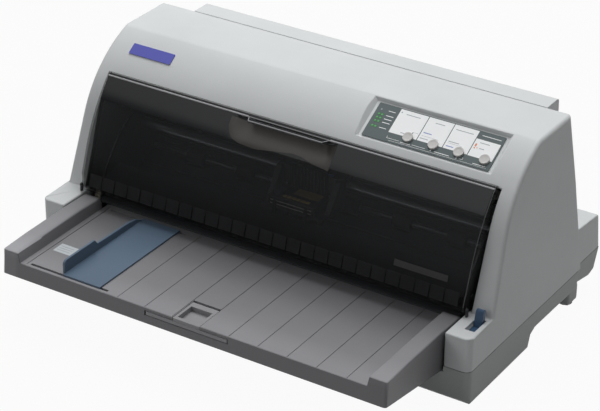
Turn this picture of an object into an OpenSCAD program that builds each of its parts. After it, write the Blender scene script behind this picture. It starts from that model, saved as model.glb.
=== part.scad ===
// Flatbed dot matrix printer: case, covers, paper table and print mechanism.
// Lengths are in millimetres. X runs to the right, Y to the back and Z up from the desk.
// The sub-parts are drawn with y = 0 at the front of the case's shoulders.
// place() then moves each of them so that the origin is the centre of the base.

/* [Case] */
// Width of the case at its shoulders
case_w = 480; // [470:1:500]
// Width of the case at its top
top_w = 464; // [456:1:476]
// Height of the case above the desk
case_h = 210; // [206:1:216]
// Depth of the case from the shoulders' front to the rear end
case_d = 272; // [270:1:285]
// Height of the joint between lower and upper case
split_z = 35; // [33:0.5:38]
// Thickness of the case walls
wall = 2.5; // [2:0.1:3]
// Height of the shoulders beside the paper table
shoulder_z = 70.4; // [69:0.1:72]
// Width of one shoulder
shoulder_w = 26.5; // [26:0.5:28]
// Slope of the hood's front in degrees
front_slope = 71; // [69:0.5:73]
// Y of the hood's front where it meets the shoulders
hood_y = 41.5; // [40:0.5:43]
// Length of the hood's straight front
front_run = 73; // [70:0.5:76]
// Slope in degrees where the brow meets the flat top
brow_top_slope = 19.5; // [18:0.5:21]
// Corner radius of the case in plan
corner_r = 7; // [4:0.5:10]
// Width of the rear housing
housing_w = 470; // [460:1:474]
// Height of the rubber feet below the lower case
foot_h = 1.2; // [0.8:0.1:2]

/* [Paper table] */
// How far the table stands out in front of the shoulders
table_reach = 98; // [90:1:110]
// Gap between the table and each shoulder
table_gap = 2; // [1.5:0.1:2.5]
// Height of the table's floor
floor_z = 58.6; // [58:0.1:59]
// Thickness of the table's walls and floor
table_t = 2.5; // [2:0.1:3]
// Height of the table's lower front edge
table_low_z = 43.4; // [42:0.2:45]
// Width of the table's side walls at their top
table_rim = 17.5; // [15:0.5:19]
// Distance between two grooves in the floor
groove_pitch = 31; // [25:1:40]
// Width of the pull-out support's tab
pull_w = 29.5; // [26:0.5:34]
// Width of the pull-out support's front bar
pull_bar_w = 91; // [80:1:110]

/* [Edge guide] */
// Distance from the table's left side to the guide's fence
guide_inset = 68.5; // [66:0.5:75]
// Width of the guide's plate
guide_w = 43; // [38:1:44]
// Height of the fence above the table's floor
fence_h = 14.4; // [12:0.2:16]

/* [Front cover] */
// Width of the case beside the cover's opening
cheek_w = 21.8; // [21.5:0.1:24]
// Gap between the cover and its opening
cover_gap = 2.5; // [1.5:0.1:2.6]
// Thickness of the cover
cover_t = 2.2; // [1.8:0.1:2.5]
// Y of the cover's hinge
cover_hinge_y = 34.2; // [33.5:0.1:35]
// Height of the cover's hinge
cover_hinge_z = 77; // [76.5:0.1:78]
// Radius of the cover's rounded lower edge
cover_edge_r = 4; // [3.5:0.1:4.5]
// Radius of the cover's curved upper half
cover_r = 190; // [180:1:200]
// Slope of the cover's upper end in degrees
cover_top_slope = 46; // [45:0.5:48]
// Radius of the hinge pins
hinge_pin_r = 2; // [1.5:0.1:2.2]

/* [Control panel] */
// Distance from the panel's right edge to the case's side
panel_inset = 38; // [36:1:45]
// Width of the panel's recess
panel_w = 142; // [138:1:150]
// Distance between two buttons
button_pitch = 26.7; // [24:0.1:28]
// Radius of a button
button_r = 5; // [4:0.1:5.5]

/* [Paper path] */
// Slope of the paper path in degrees
path_tilt = 6.5; // [6:0.1:7]
// Radius of the rubber feed rollers
feed_r = 9; // [8.5:0.1:9.5]
// Radius of the feed shafts
feed_shaft_r = 4; // [3:0.1:4.5]
// Radius of the pinch rollers
pinch_r = 8; // [7:0.1:8.5]
// Radius of the pinch roller shafts
pinch_shaft_r = 3; // [2:0.1:3.5]
// Width of one roller
roller_w = 20; // [14:1:26]
// Distance between two rollers
roller_pitch = 60; // [50:1:64]
// Radius of the shaft that guides the carriage
guide_shaft_r = 6; // [5:0.1:6.5]
// Thickness of the steel side frames
frame_t = 1.6; // [1.2:0.1:2]
// Distance from the case's side to the side frame
frame_inset = 35; // [34:0.5:36]

/* [Carriage] */
// X of the carriage at rest
carriage_x = 2; // [-100:1:100]
// Width of the carriage
carriage_w = 72; // [66:1:80]
// Radius of the belt pulleys
pulley_r = 7; // [6:0.1:7.5]

/* [Gears] */
// Module of the feed gears
gear_m = 0.8; // [0.8:0.01:0.82]
// Teeth of the gears on both feed shafts
feed_teeth = 40; // [40:1:41]
// Thickness of the gears
gear_t = 6; // [4:0.5:6]

/* [Tractors] */
// Width of one tractor
tractor_w = 26; // [22:1:30]
// X of the left tractor at rest
tractor_left_x = -112; // [-150:1:-80]
// X of the right tractor at rest
tractor_right_x = 108; // [80:1:150]
// Side of the square tractor shaft
square_side = 6; // [5:0.1:6.2]

/* [Clearances] */
// Radial clearance of a turning fit
turn_fit = 0.06; // [0.03:0.01:0.09]
// Gap between parts that move past each other
slide_gap = 0.3; // [0.2:0.05:0.4]

/* [Hidden] */
$fn = 48;
eps = 0.01;
far = 60;
mid_y = (case_d - table_reach) / 2;

// Plain helpers
function arc(c, r, a0, a1, n) =
    [for (i = [0:n]) let (a = a0 + (a1 - a0) * i / n) c + r * [cos(a), sin(a)]];
function round_rect(x0, x1, y0, y1, r) = concat(
    arc([x1 - r, y1 - r], r, 0, 90, 6), arc([x0 + r, y1 - r], r, 90, 180, 6),
    arc([x0 + r, y0 + r], r, 180, 270, 6), arc([x1 - r, y0 + r], r, 270, 360, 6));
function stadium(c0, c1, r) = concat(arc(c1, r, -90, 90, 12), arc(c0, r, 90, 270, 12));

module place() {
    translate([0, -mid_y, 0]) children();
}
module block(x0, x1, y0, y1, z0, z1) {
    translate([x0, y0, z0]) cube([x1 - x0, y1 - y0, z1 - z0]);
}
module along_x(x0, x1) {
    translate([x0, 0, 0]) rotate([90, 0, 90]) linear_extrude(x1 - x0) children();
}
module along_y(y0, y1) {
    translate([0, y1, 0]) rotate([90, 0, 0]) linear_extrude(y1 - y0) children();
}
module up_z(z0, z1) {
    translate([0, 0, z0]) linear_extrude(z1 - z0) children();
}
module rod_x(x0, x1, y, z, r) {
    translate([x0, y, z]) rotate([0, 90, 0]) cylinder(h = x1 - x0, r = r);
}
module rod_z(x, y, z0, z1, r) {
    translate([x, y, z0]) cylinder(h = z1 - z0, r = r);
}
module both_sides() {
    children();
    mirror([1, 0, 0]) children();
}

// Case geometry
half_w = case_w / 2;
shoulder_x = half_w - shoulder_w;
opening_x = half_w - cheek_w;
cover_x = opening_x - cover_gap;
frame_x = half_w - frame_inset;
frame_in = frame_x - frame_t;
housing_y = 222;
deck_front_z = 77;
deck_back_z = 74;
rear_top_y = 195;
rear_mid = [207.7, 137.7];
brow_start = [hood_y + front_run * cos(front_slope), shoulder_z + front_run * sin(front_slope)];
brow_r = (case_h - brow_start[1]) / (cos(brow_top_slope) - cos(front_slope));
brow_c = brow_start + brow_r * [sin(front_slope), -cos(front_slope)];
brow_steps = 20;

function slope_dir(t) = [-sin(t), cos(t)];
function hood_front_y(z, s) = hood_y + (z - shoulder_z) / tan(front_slope) + s / sin(front_slope);
function brow_end(s) = acos((case_h - s - brow_c[1]) / (brow_r - s));
function brow(s) = [for (i = [0:brow_steps])
    let (t = front_slope + (brow_end(s) - front_slope) * i / brow_steps)
    brow_c + (brow_r - s) * slope_dir(t)];
function hood_outline(s, low) = concat([[hood_front_y(low, s), low]], brow(s),
    [[rear_top_y - s, case_h - s], [rear_mid[0] - s, rear_mid[1]],
     [housing_y - 6 - s, deck_front_z], [housing_y - s, low]]);
function side_outline(s, low) = [[-(half_w - s), low], [-(half_w - s), shoulder_z],
    [-(top_w / 2 - s), case_h], [top_w / 2 - s, case_h], [half_w - s, shoulder_z], [half_w - s, low]];
function deck_z(y) = deck_front_z + (y - 225) * (deck_back_z - deck_front_z) / 39;
function housing_outline(s, low) = [[200, low], [case_d - s, low], [case_d - 5.5 - s, deck_back_z - 2 - s],
    [case_d - 8 - s, deck_back_z - s], [200, deck_z(200) - s]];
step_y = 117;
rear_base_z = 17;
function base_outline(s, top) = [[s, top], [s, 5 + s], [4 + s, foot_h + s],
    [step_y - 0.6 * s, foot_h + s], [step_y + 4.5 - 0.6 * s, rear_base_z - 3.6 + s],
    [step_y + 13, rear_base_z + s], [housing_y + 3, rear_base_z + s],
    [case_d - 14, rear_base_z - 6 + s], [case_d - 10 - s, rear_base_z - 5 + s], [case_d - s, top]];

function base_z(y) = y < housing_y + 3 ? rear_base_z : rear_base_z - 6 * (y - housing_y - 3)
    / (case_d - 17 - housing_y);

// Fasteners and seats of the case
screw_x = half_w - 7;
screw_front_y = 62;
screw_rear_y = 180;
screw_r = 1.6;
screw_head_r = 3.2;
boss_r = 5;
pod_x0 = half_w - 18;
pod_x1 = half_w - 1.5;
pod_y0 = housing_y - 19;
pod_y1 = housing_y + 1;
frame_z = 8;
frame_rear_z = 24;
board_z = 36;
board_t = 1.6;
supply_x = [frame_in - 153.4, frame_in - 15.4];
supply_y = [case_d - 106, case_d - 26];
board_x = [-(half_w - 50), supply_x[0] - 20];
board_y = [case_d - 72, case_d - 10];
supply_z = 24;

// Lever in the right shoulder
lever_x0 = half_w - 13.5;
lever_x1 = half_w - 5.5;
lever_pivot = [26, 38];
lever_pin_r = 2;
lever_tilt = 13;
lever_slot_y = [15, 37.4];
lever_rib_t = 2;

// Seat of the power switch in the left shoulder's wall
switch_seat_x = -half_w + 1.3;

// Front cover geometry
cover_pivot = [cover_hinge_y, cover_hinge_z];
cover_straight = 35;
cover_arc_c = cover_pivot - cover_edge_r * [sin(front_slope), -cos(front_slope)]
    + cover_straight * [cos(front_slope), sin(front_slope)]
    + cover_r * [sin(front_slope), -cos(front_slope)];
function cover_face(s) = concat(
    arc(cover_pivot, cover_edge_r - s, 270, 90 + front_slope, 6),
    [for (i = [0:12]) let (t = front_slope + (cover_top_slope - front_slope) * i / 12)
        cover_arc_c + (cover_r - s) * slope_dir(t)]);
opening_slope = 49;
cover_back_inset = 2;

// Brackets that carry the front cover's hinge pins, each with a peg in the shoulder
bracket_w = 4;
peg_t = 2.4;
peg_fit = 0.1;
bracket_peg_x = opening_x + 0.8;

// Rear cover geometry
rear_cover_x = [-192, 206];
rear_cover_t = 2.2;
rear_cover_low_z = 112;
rear_cover_top_y = [196.4, 221];
rear_cover_pivot = [220, 115.5];
rear_pin_r = 2;
rear_ear_r = 4.4;
function rear_wall_y(z) = rear_top_y + (case_h - z) * (rear_mid[0] - rear_top_y) / (case_h - rear_mid[1]);

// Control panel geometry: a local frame on the brow with v up the slope and w outwards
panel_x1 = half_w - panel_inset;
panel_x0 = panel_x1 - panel_w;
panel_slope = 33.5;
panel_mid = brow_c + (brow_r - 1.5) * slope_dir(panel_slope);
panel_half = 19.6;
panel_floor = -0.8;
panel_pad = -3.4;
button_v = -8.3;
button_x = [for (i = [0:3]) panel_x1 - 11 - (3 - i) * button_pitch];
led_x = panel_x0 + 11;
led_pitch = 3.4;
led_v = [6.8, 3, -0.8, -6.5];
board_w = [-11, -9.4];
module panel_frame() {
    translate([0, panel_mid[0], panel_mid[1]]) rotate([panel_slope, 0, 0]) children();
}

// Paper path and rollers
path_y0 = 33;
path_z0 = floor_z + 0.4;
function path_z(y) = path_z0 + (y - path_y0) * tan(path_tilt);
front_feed = [hood_y + 24.5, path_z(hood_y + 24.5) - feed_r + 0.2];
platen_y = hood_y + 57.5;
rear_feed = [platen_y + 41, path_z(platen_y + 41) - feed_r + 0.2];
front_pinch = [front_feed[0], path_z(front_feed[0]) + 0.5 + pinch_r];
rear_pinch = [rear_feed[0], path_z(rear_feed[0]) + 0.5 + pinch_r];
roller_places = [-2.5, -1.5, -0.5, 0.5, 1.5, 2.5] * roller_pitch;
guide_t = 1.5;
guide_drop = 0.6;
upper_guide_lift = 2;

// Carriage, rail and belt
shaft_c = [platen_y + 23, 112.6];
rail_z = 122;
rail_t = 1.6;
rail_y = [shaft_c[0] + 8, shaft_c[0] + 54];
lip_h = 10;
pulley_x = frame_x - 27;
pulley_y = shaft_c[0] + 28;
pulley_z = [rail_z + rail_t + 0.8, rail_z + rail_t + 8];
belt_t = 1.35;
belt_in_r = pulley_r + 0.25;
motor_shaft_r = 2.5;
carriage_deck_z = 91.5;

// Feed gears
gear_x1 = -(frame_x + 3);
gear_x0 = gear_x1 - gear_t;
idler_teeth = 53;
pinion_teeth = 12;
tractor_idler_teeth = 71;
tractor_teeth = 36;
mesh_gap = 0.1;
function gear_r(n) = gear_m * n / 2;
function third_point(a, b, ra, rb) = let (d = b - a, l = norm(d), u = d / l,
    k = (ra * ra - rb * rb + l * l) / (2 * l), h = sqrt(ra * ra - k * k))
    a + k * u + h * [u[1], -u[0]];
function mesh_phase(a, na, phase, b, nb) = let (t = atan2(b[1] - a[1], b[0] - a[0]))
    t + 180 - 360 / nb * ((phase - t) * na / 360 + 0.5);
tractor_c = [housing_y + 2, deck_front_z + 9.5];
idler_c = third_point(front_feed, rear_feed, gear_r(feed_teeth + idler_teeth) + mesh_gap,
    gear_r(feed_teeth + idler_teeth) + mesh_gap);
pinion_dir = -100;
pinion_c = idler_c + (gear_r(idler_teeth + pinion_teeth) + mesh_gap) * [cos(pinion_dir), sin(pinion_dir)];
tractor_idler_c = third_point(rear_feed, tractor_c, gear_r(feed_teeth + tractor_idler_teeth) + mesh_gap,
    gear_r(tractor_idler_teeth + tractor_teeth) + mesh_gap);
front_gear_phase = mesh_phase(idler_c, idler_teeth, 0, front_feed, feed_teeth);
rear_gear_phase = mesh_phase(idler_c, idler_teeth, 0, rear_feed, feed_teeth);
pinion_phase = mesh_phase(idler_c, idler_teeth, 0, pinion_c, pinion_teeth);
tractor_idler_phase = mesh_phase(rear_feed, feed_teeth, rear_gear_phase, tractor_idler_c,
    tractor_idler_teeth);
tractor_phase = mesh_phase(tractor_idler_c, tractor_idler_teeth, tractor_idler_phase, tractor_c,
    tractor_teeth);
stud_r = 3;
feed_motor_r = 20;

module gear(c, teeth, phase) {
    pitch = 360 / teeth;
    root = gear_r(teeth) - 1.25 * gear_m;
    tip = gear_r(teeth) + 0.95 * gear_m;
    along_x(gear_x0, gear_x1) translate(c) rotate(phase) polygon([for (i = [0:teeth - 1])
        for (p = [[-0.27, root], [-0.12, tip], [0.12, tip], [0.27, root]])
            p[1] * [cos((i + p[0]) * pitch), sin((i + p[0]) * pitch)]]);
}

// Tractors
rod_c = [tractor_c[0] + 28, tractor_c[1] - 2.5];
rod_r = 3;
bracket_x = [-(frame_x - 1), frame_x - 7];
bracket_t = 2.5;
tractor_low = deck_front_z + 2;
tractor_high = tractor_c[1] + 7;

// Rear connectors
inlet_x = 154;
inlet_w = 27;
inlet_h = 19.5;
inlet_z = 49;
parallel_x = -60;
parallel_w = 66;
usb_x = -130;
rear_face_y = case_d - 1.5;

// --- Case ---
module lower_case() {
    color("#B4B7B8") difference() {
        union() {
            difference() {
                base_body(0, split_z);
                base_body(wall, split_z + 1);
                block(-shoulder_x, shoulder_x, -1, wall + eps, 29, split_z + 1);
            }
            both_sides() {
                block(pod_x0, pod_x1, pod_y0, pod_y1, foot_h, rear_base_z + 1);
                block(shoulder_x, shoulder_x + wall, wall - eps, hood_y, foot_h + wall - eps, split_z);
                rod_z(screw_x, screw_front_y, foot_h + eps, split_z, boss_r);
                rod_z(screw_x, screw_rear_y, rear_base_z + eps, split_z, boss_r);
                for (y = [60, 98]) rod_z(frame_in - 6, y, foot_h + 1, frame_z, 4);
                for (y = [152, 182]) rod_z(frame_in - 6, y, rear_base_z + 1, frame_rear_z, 4);
            }
            for (x = [board_x[0] + 10, board_x[1] - 10], y = [board_y[0] + 8, board_y[1] - 10])
                rod_z(x, y, base_z(y) + 1, board_z, 3.5);
            for (x = [supply_x[0] + 10, supply_x[1] - 10], y = [supply_y[0] + 8, supply_y[1] - 8])
                rod_z(x, y, base_z(y) + 1, supply_z, 4);
        }
        both_sides() {
            rod_z(screw_x, screw_front_y, 0, split_z + 1, screw_r + 0.2);
            rod_z(screw_x, screw_front_y, 0, foot_h + 4, screw_head_r + 0.3);
            rod_z(screw_x, screw_rear_y, 0, split_z + 1, screw_r + 0.2);
            rod_z(screw_x, screw_rear_y, 0, rear_base_z + 4, screw_head_r + 0.3);
        }
    }
}
module base_body(s, top) {
    intersection() {
        along_x(-(half_w - s), half_w - s) polygon(base_outline(s, top));
        up_z(0, top) polygon(round_rect(-(half_w - s), half_w - s, s, housing_y + (s > 0 ? 2 : 0),
            corner_r - s));
    }
    intersection() {
        along_x(-(housing_w / 2 - s), housing_w / 2 - s) polygon(base_outline(s, top));
        block(-housing_w / 2, housing_w / 2, housing_y - 8 - s, case_d + 1, 0, top);
    }
}

module upper_case() {
    color("#C9CCCD") difference() {
        union() {
            difference() {
                upper_outside();
                upper_inside();
            }
            upper_inner_parts();
        }
        upper_cuts();
    }
}
module upper_outside() {
    intersection() {
        along_x(-half_w, half_w) polygon(hood_outline(0, split_z));
        along_y(-1, case_d) polygon(side_outline(0, split_z));
    }
    both_sides() up_z(split_z, shoulder_z)
        polygon(concat(arc([half_w - corner_r, corner_r], corner_r, 270, 360, 6),
            [[half_w, hood_y + 8], [shoulder_x, hood_y + 8]],
            arc([shoulder_x + 2, 2], 2, 180, 270, 4)));
    along_x(-housing_w / 2, housing_w / 2) polygon(housing_outline(0, split_z));
}
module upper_inside() {
    intersection() {
        along_x(-half_w, half_w) polygon(hood_outline(wall, split_z - 1));
        along_y(-1, case_d) polygon(side_outline(wall, split_z - 1));
    }
    both_sides() block(shoulder_x + wall, half_w - wall, wall, hood_y + 20, split_z - 1, shoulder_z - wall);
    along_x(-(housing_w / 2 - wall), housing_w / 2 - wall) polygon(housing_outline(wall, split_z - 1));
    block(-(housing_w / 2 - wall), housing_w / 2 - wall, 190, 210, split_z - 1, deck_z(214) - wall);
    // gap for the paper table and opening for the front cover
    block(-shoulder_x, shoulder_x, -1, hood_y + 9, split_z - 1, shoulder_z + 1);
    along_x(-opening_x, opening_x) polygon([[-30, shoulder_z], [95, shoulder_z],
        brow_c + (brow_r - 8) * slope_dir(opening_slope), brow_c + (brow_r + 40) * slope_dir(opening_slope),
        [-30, brow_c[1] + brow_r]]);
}
module upper_inner_parts() {
    // pad that carries the control panel
    panel_frame() block(panel_x0 - 4, panel_x1 + 4, -21, 21, panel_pad, panel_floor);
    for (x = [panel_x0 + 6, panel_x1 - 6]) panel_frame() rod_z(x, 13, board_w[1], panel_pad + eps, 3);
    both_sides() {
        // screw bosses at the side walls
        for (y = [screw_front_y, screw_rear_y]) {
            rod_z(screw_x, y, split_z, split_z + 15, boss_r);
            block(screw_x, half_w - 1, y - boss_r, y + boss_r, split_z, split_z + 15);
        }
    }
    // ears of the rear cover's hinge
    for (x = [rear_cover_x[0] + 5, rear_cover_x[1] - 9]) {
        block(x, x + 4, rear_wall_y(rear_cover_pivot[1]) - 2, rear_cover_pivot[0],
            rear_cover_pivot[1] - rear_ear_r, rear_cover_pivot[1] + rear_ear_r);
        rod_x(x, x + 4, rear_cover_pivot[0], rear_cover_pivot[1], rear_ear_r);
    }
    // ribs that carry the lever's pin
    for (x = [lever_x0 - slide_gap - lever_rib_t, lever_x1 + slide_gap])
        block(x, x + lever_rib_t, lever_pivot[0] - 6, lever_pivot[0] + 6,
            lever_pivot[1] - 4.5, shoulder_z - wall + eps);
}
module upper_cuts() {
    both_sides() {
        block(bracket_peg_x, bracket_peg_x + peg_t, cover_hinge_y - 3, cover_hinge_y + 3, 60, shoulder_z + 1);
        for (y = [screw_front_y, screw_rear_y]) rod_z(screw_x, y, split_z - 1, split_z + 12, screw_r + 0.03);
    }
    for (x = [rear_cover_x[0] + 5, rear_cover_x[1] - 9])
        rod_x(x - 1, x + 5, rear_cover_pivot[0], rear_cover_pivot[1], rear_pin_r + turn_fit);
    // rear cover opening
    block(rear_cover_x[0] + 4.5, rear_cover_x[1] - 4.5, 185, rear_cover_pivot[0] - 20, 122, case_h - wall);
    block(rear_cover_x[0] + 4.5, rear_cover_x[1] - 4.5, rear_cover_pivot[0] - 20 - eps, 213, 122,
        case_h - wall);
    // paper slot and gear slot at the back
    block(-160, 160, 196, 220, deck_front_z + 2.2, deck_front_z + 18);
    block(gear_x0 - 2, gear_x1 + 2, 206, 244, 60, deck_front_z + 27);
    // lever slot and the gaps that its shield swings through
    block(lever_x0 - 1, lever_x1 + 1, lever_slot_y[0], lever_slot_y[1], shoulder_z - wall - 1,
        shoulder_z + 1);
    rod_x(lever_x0 - 4, half_w - wall - 0.2, lever_pivot[0], lever_pivot[1], lever_pin_r + 0.03);
    // control panel recess, buttons and light pipes
    panel_frame() {
        block(panel_x0, panel_x1, -panel_half, panel_half, panel_floor, far);
        for (x = button_x) rod_z(x, button_v, -20, far, button_r + slide_gap);
        for (x = [led_x, led_x + led_pitch], v = led_v) rod_z(x, v, -9, far, 1.1);
    }
    // power switch, inlet and connectors
    block(-half_w - 1, switch_seat_x, 18, 44, 42.4, 62.6);
    block(-half_w - 1, -half_w + 10, 20.4, 41.6, 44.8, 60.2);
    block(inlet_x - inlet_w / 2, inlet_x + inlet_w / 2, case_d - 20, case_d + 2, inlet_z - inlet_h / 2,
        inlet_z + inlet_h / 2);
    block(parallel_x - parallel_w / 2, parallel_x + parallel_w / 2, case_d - 20, case_d + 2,
        board_z + board_t - 0.4, board_z + board_t + 14);
    block(usb_x - 6.5, usb_x + 6.5, case_d - 20, case_d + 2, board_z + board_t - 0.4, board_z + board_t + 12);
    // vents in the rear wall behind the power supply
    for (i = [0:9]) block(20 + 9 * i, 24 + 9 * i, case_d - 12, case_d + 1, 45, 58);
}

module rear_cover() {
    x0 = rear_cover_x[0];
    x1 = rear_cover_x[1];
    y0 = rear_cover_top_y[0];
    y1 = rear_cover_top_y[1];
    t = rear_cover_t;
    color("#C6C9CA") {
        difference() {
            intersection() {
                along_x(x0, x1) polygon(concat([[y0, case_h]],
                    arc([y1 - 4, case_h - 4], 4, 90, 5, 5),
                    [[y1 + 7, rear_cover_low_z], [rear_wall_y(rear_cover_low_z) + 0.6, rear_cover_low_z],
                     [rear_mid[0] + 0.5, rear_mid[1]], [rear_wall_y(case_h - 2) + 0.6, case_h - 2], [y0,
                         case_h - 2]]));
                up_z(0, far * 4) polygon(concat(arc([x1 - 9, y1 - 2], 9, 0, 90, 6),
                    arc([x0 + 9, y1 - 2], 9, 90, 180, 6), [[x0, 180], [x1, 180]]));
            }
            along_x(x0 + t, x1 - t) polygon([[180, case_h - t], [y1 - t, case_h - t],
                [y1 + 7 - t, rear_cover_low_z - 1], [180, rear_cover_low_z - 1]]);
        }
        rod_x(x0 + eps, x0 + 11, rear_cover_pivot[0], rear_cover_pivot[1], rear_pin_r);
        rod_x(x1 - 11, x1 - eps, rear_cover_pivot[0], rear_cover_pivot[1], rear_pin_r);
    }
}

// --- Front cover ---
module front_cover() {
    color([0.09, 0.09, 0.1, 0.6]) difference() {
        union() {
            difference() {
                along_x(-cover_x, cover_x) polygon(concat(cover_face(0), cover_back(0)));
                along_x(-(cover_x - cover_t), cover_x - cover_t)
                    polygon(concat(cover_face(cover_t), cover_back(cover_t)));
            }
            cover_lip();
        }
        both_sides() rod_x(cover_x - cover_t - 1, cover_x + 1, cover_hinge_y, cover_hinge_z,
            hinge_pin_r + turn_fit);
    }
}
// Rear boundary of the cover, just inside the hood's surface
function cover_back(s) = [
    brow_c + (brow_r - cover_back_inset - 3 * s) * slope_dir(opening_slope + 1.2 + s / 2),
    brow_c + (brow_r - cover_back_inset - 3 * s) * slope_dir(60),
    brow_start + (cover_back_inset + 3 * s) * [sin(front_slope), -cos(front_slope)],
    [hood_front_y(cover_hinge_z - cover_edge_r + s, cover_back_inset + 3 * s),
        cover_hinge_z - cover_edge_r + s]];
lip_w = 90;
lip_c = cover_arc_c + cover_r * slope_dir(cover_top_slope + 1);
module cover_lip() {
    up_z(lip_c[1] - 3.4, lip_c[1] - 0.6)
        polygon(round_rect(-lip_w / 2, lip_w / 2, lip_c[0] - 8.5, lip_c[0] + 3, 2.5));
}
strip_t = 1.2;
rib_pitch = 15.4;
// Local frame on the cover's straight face: v up the face from the hinge and w outwards
module face_frame() {
    translate([0, cover_pivot[0], cover_pivot[1]]) rotate([front_slope, 0, 0]) children();
}
module cover_guide_strip() {
    inner = cover_edge_r - cover_t;
    ribs = floor((cover_x - 8.6) / rib_pitch);
    color("#1E1F20") face_frame() {
        block(-(cover_x - 8), cover_x - 8, 1, 14, inner - strip_t, inner);
        for (i = [-ribs:ribs]) block(i * rib_pitch - 0.6, i * rib_pitch + 0.6, 1, 12, inner - strip_t - 1.6,
            inner - strip_t + eps);
    }
}
module cover_blank_strip() {
    color("#4A4B4C") face_frame()
        block(cover_x - 77.5, cover_x - 21.5, 20.5, 26.5, cover_edge_r, cover_edge_r + 0.4);
}
module cover_hinge_pins() {
    bracket_r = cover_edge_r - 0.4;
    color("#1A1A1B") both_sides() {
        rod_x(cover_x - cover_t - 0.5, opening_x + eps, cover_hinge_y, cover_hinge_z, hinge_pin_r);
        rod_x(opening_x, opening_x + bracket_w, cover_hinge_y, cover_hinge_z, bracket_r);
        block(opening_x, opening_x + bracket_w, cover_hinge_y - bracket_r, cover_hinge_y + bracket_r,
            shoulder_z, cover_hinge_z);
        block(bracket_peg_x + peg_fit, bracket_peg_x + peg_t - peg_fit, cover_hinge_y - 3 + peg_fit,
            cover_hinge_y + 3 - peg_fit, shoulder_z - wall - 1, shoulder_z + eps);
    }
}
module badge_plate() {
    badge_slope = 33.4;
    badge_mid = brow_c + brow_r * slope_dir(badge_slope);
    color("#3A3F9E") translate([0, badge_mid[0], badge_mid[1]]) rotate([badge_slope, 0, 0])
        up_z(0, 0.9) polygon(round_rect(-half_w + 32.6, -half_w + 82.1, -6.2, 6.2, 1));
}

// --- Paper table ---
table_x = shoulder_x - table_gap;
guide_x = guide_inset - table_x;
table_back = hood_y - 8.5;
floor_back = hood_y + 1;
slot_y = [-table_reach + 7, hood_y - 6.6];
slot_w = 3;
slot_x = [guide_x - 38.5, guide_x + guide_w + 8.5];
pull_y = [-table_reach, -table_reach + 34.5];
pull_low = 51.5;
pull_stem_t = 4;
pull_back = -5;
label_x = [guide_x - 38, guide_x - 15];
label_y = [-59, -44];
label_t = 0.25;
module paper_table() {
    rim = table_x - table_rim;
    color("#6B6E70") {
        difference() {
            along_x(-table_x, table_x) polygon([[-table_reach, table_low_z], [0, 29.2], [table_back, 29.2],
                [table_back, shoulder_z - 1], [0, shoulder_z], [-60, shoulder_z - 0.6],
                [-table_reach + 2.2, shoulder_z - 2], [-table_reach + 1.6, floor_z - 0.2]]);
            along_y(-table_reach - 1, far) polygon([[-(rim - 2.6), floor_z], [rim - 2.6, floor_z],
                [rim, shoulder_z + 2], [-rim, shoulder_z + 2]]);
            along_x(-(rim - 3), rim - 3) polygon([[-table_reach + table_t, 0],
                [-table_reach + table_t, floor_z - table_t], [far, floor_z - table_t], [far, 0]]);
            both_sides() along_x(rim + 2, table_x - table_t) polygon([[-table_reach + table_t + 1.6, 0],
                [-table_reach + table_t + 2.2, shoulder_z - 4.5], [far, shoulder_z - 4.5], [far, 0]]);
            table_cuts(rim);
        }
        difference() {
            block(-(rim - 2.6), rim - 2.6, table_back - eps, floor_back, floor_z - table_t, floor_z);
            table_cuts(rim);
        }
        // rails that carry the pull-out support, and hooks behind the lower case's front wall
        both_sides() {
            block(pull_w / 2 + slide_gap, pull_w / 2 + slide_gap + 2, -60, pull_back + 2, pull_low - 3,
                floor_z - table_t + eps);
            block(pull_w / 2 - 6, pull_w / 2 + slide_gap + 1, -60, pull_back + 2, pull_low - 3,
                pull_low - slide_gap);
            block(120, 140, wall + slide_gap, wall + slide_gap + 2, 22, floor_z - table_t + eps);
        }
    }
}
module table_cuts(rim) {
    groove_x = guide_x + 65;
    // slots of the edge guide
    for (y = slot_y) block(slot_x[0], slot_x[1], y - slot_w / 2, y + slot_w / 2, 40, floor_z + 1);
    // grooves in the floor
    for (x = [groove_x:groove_pitch:rim - 6]) block(x - 0.3, x + 0.3, -table_reach + 3, floor_back + 1,
        floor_z - 0.5, floor_z + 1);
    block(-rim + 8.2, -rim + 9, -table_reach + 5, floor_back - 3, floor_z - 0.8, floor_z + 1);
    // seat of the label
    block(label_x[0], label_x[1], label_y[0], label_y[1], floor_z - label_t, floor_z + 1);
    // notch and front opening of the pull-out support
    block(-pull_w / 2 - slide_gap, pull_w / 2 + slide_gap, pull_y[0] - 1, pull_y[1] + 2.5,
        pull_low - slide_gap, floor_z + 1);
    block(-pull_bar_w / 2 - 0.5, pull_bar_w / 2 + 0.5, pull_y[0] - 1, pull_y[0] + 7, pull_low - slide_gap,
        pull_low + pull_stem_t + slide_gap);
}
module table_label() {
    color("#C8CCD0") block(label_x[0], label_x[1], label_y[0], label_y[1], floor_z - label_t, floor_z);
}
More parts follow.
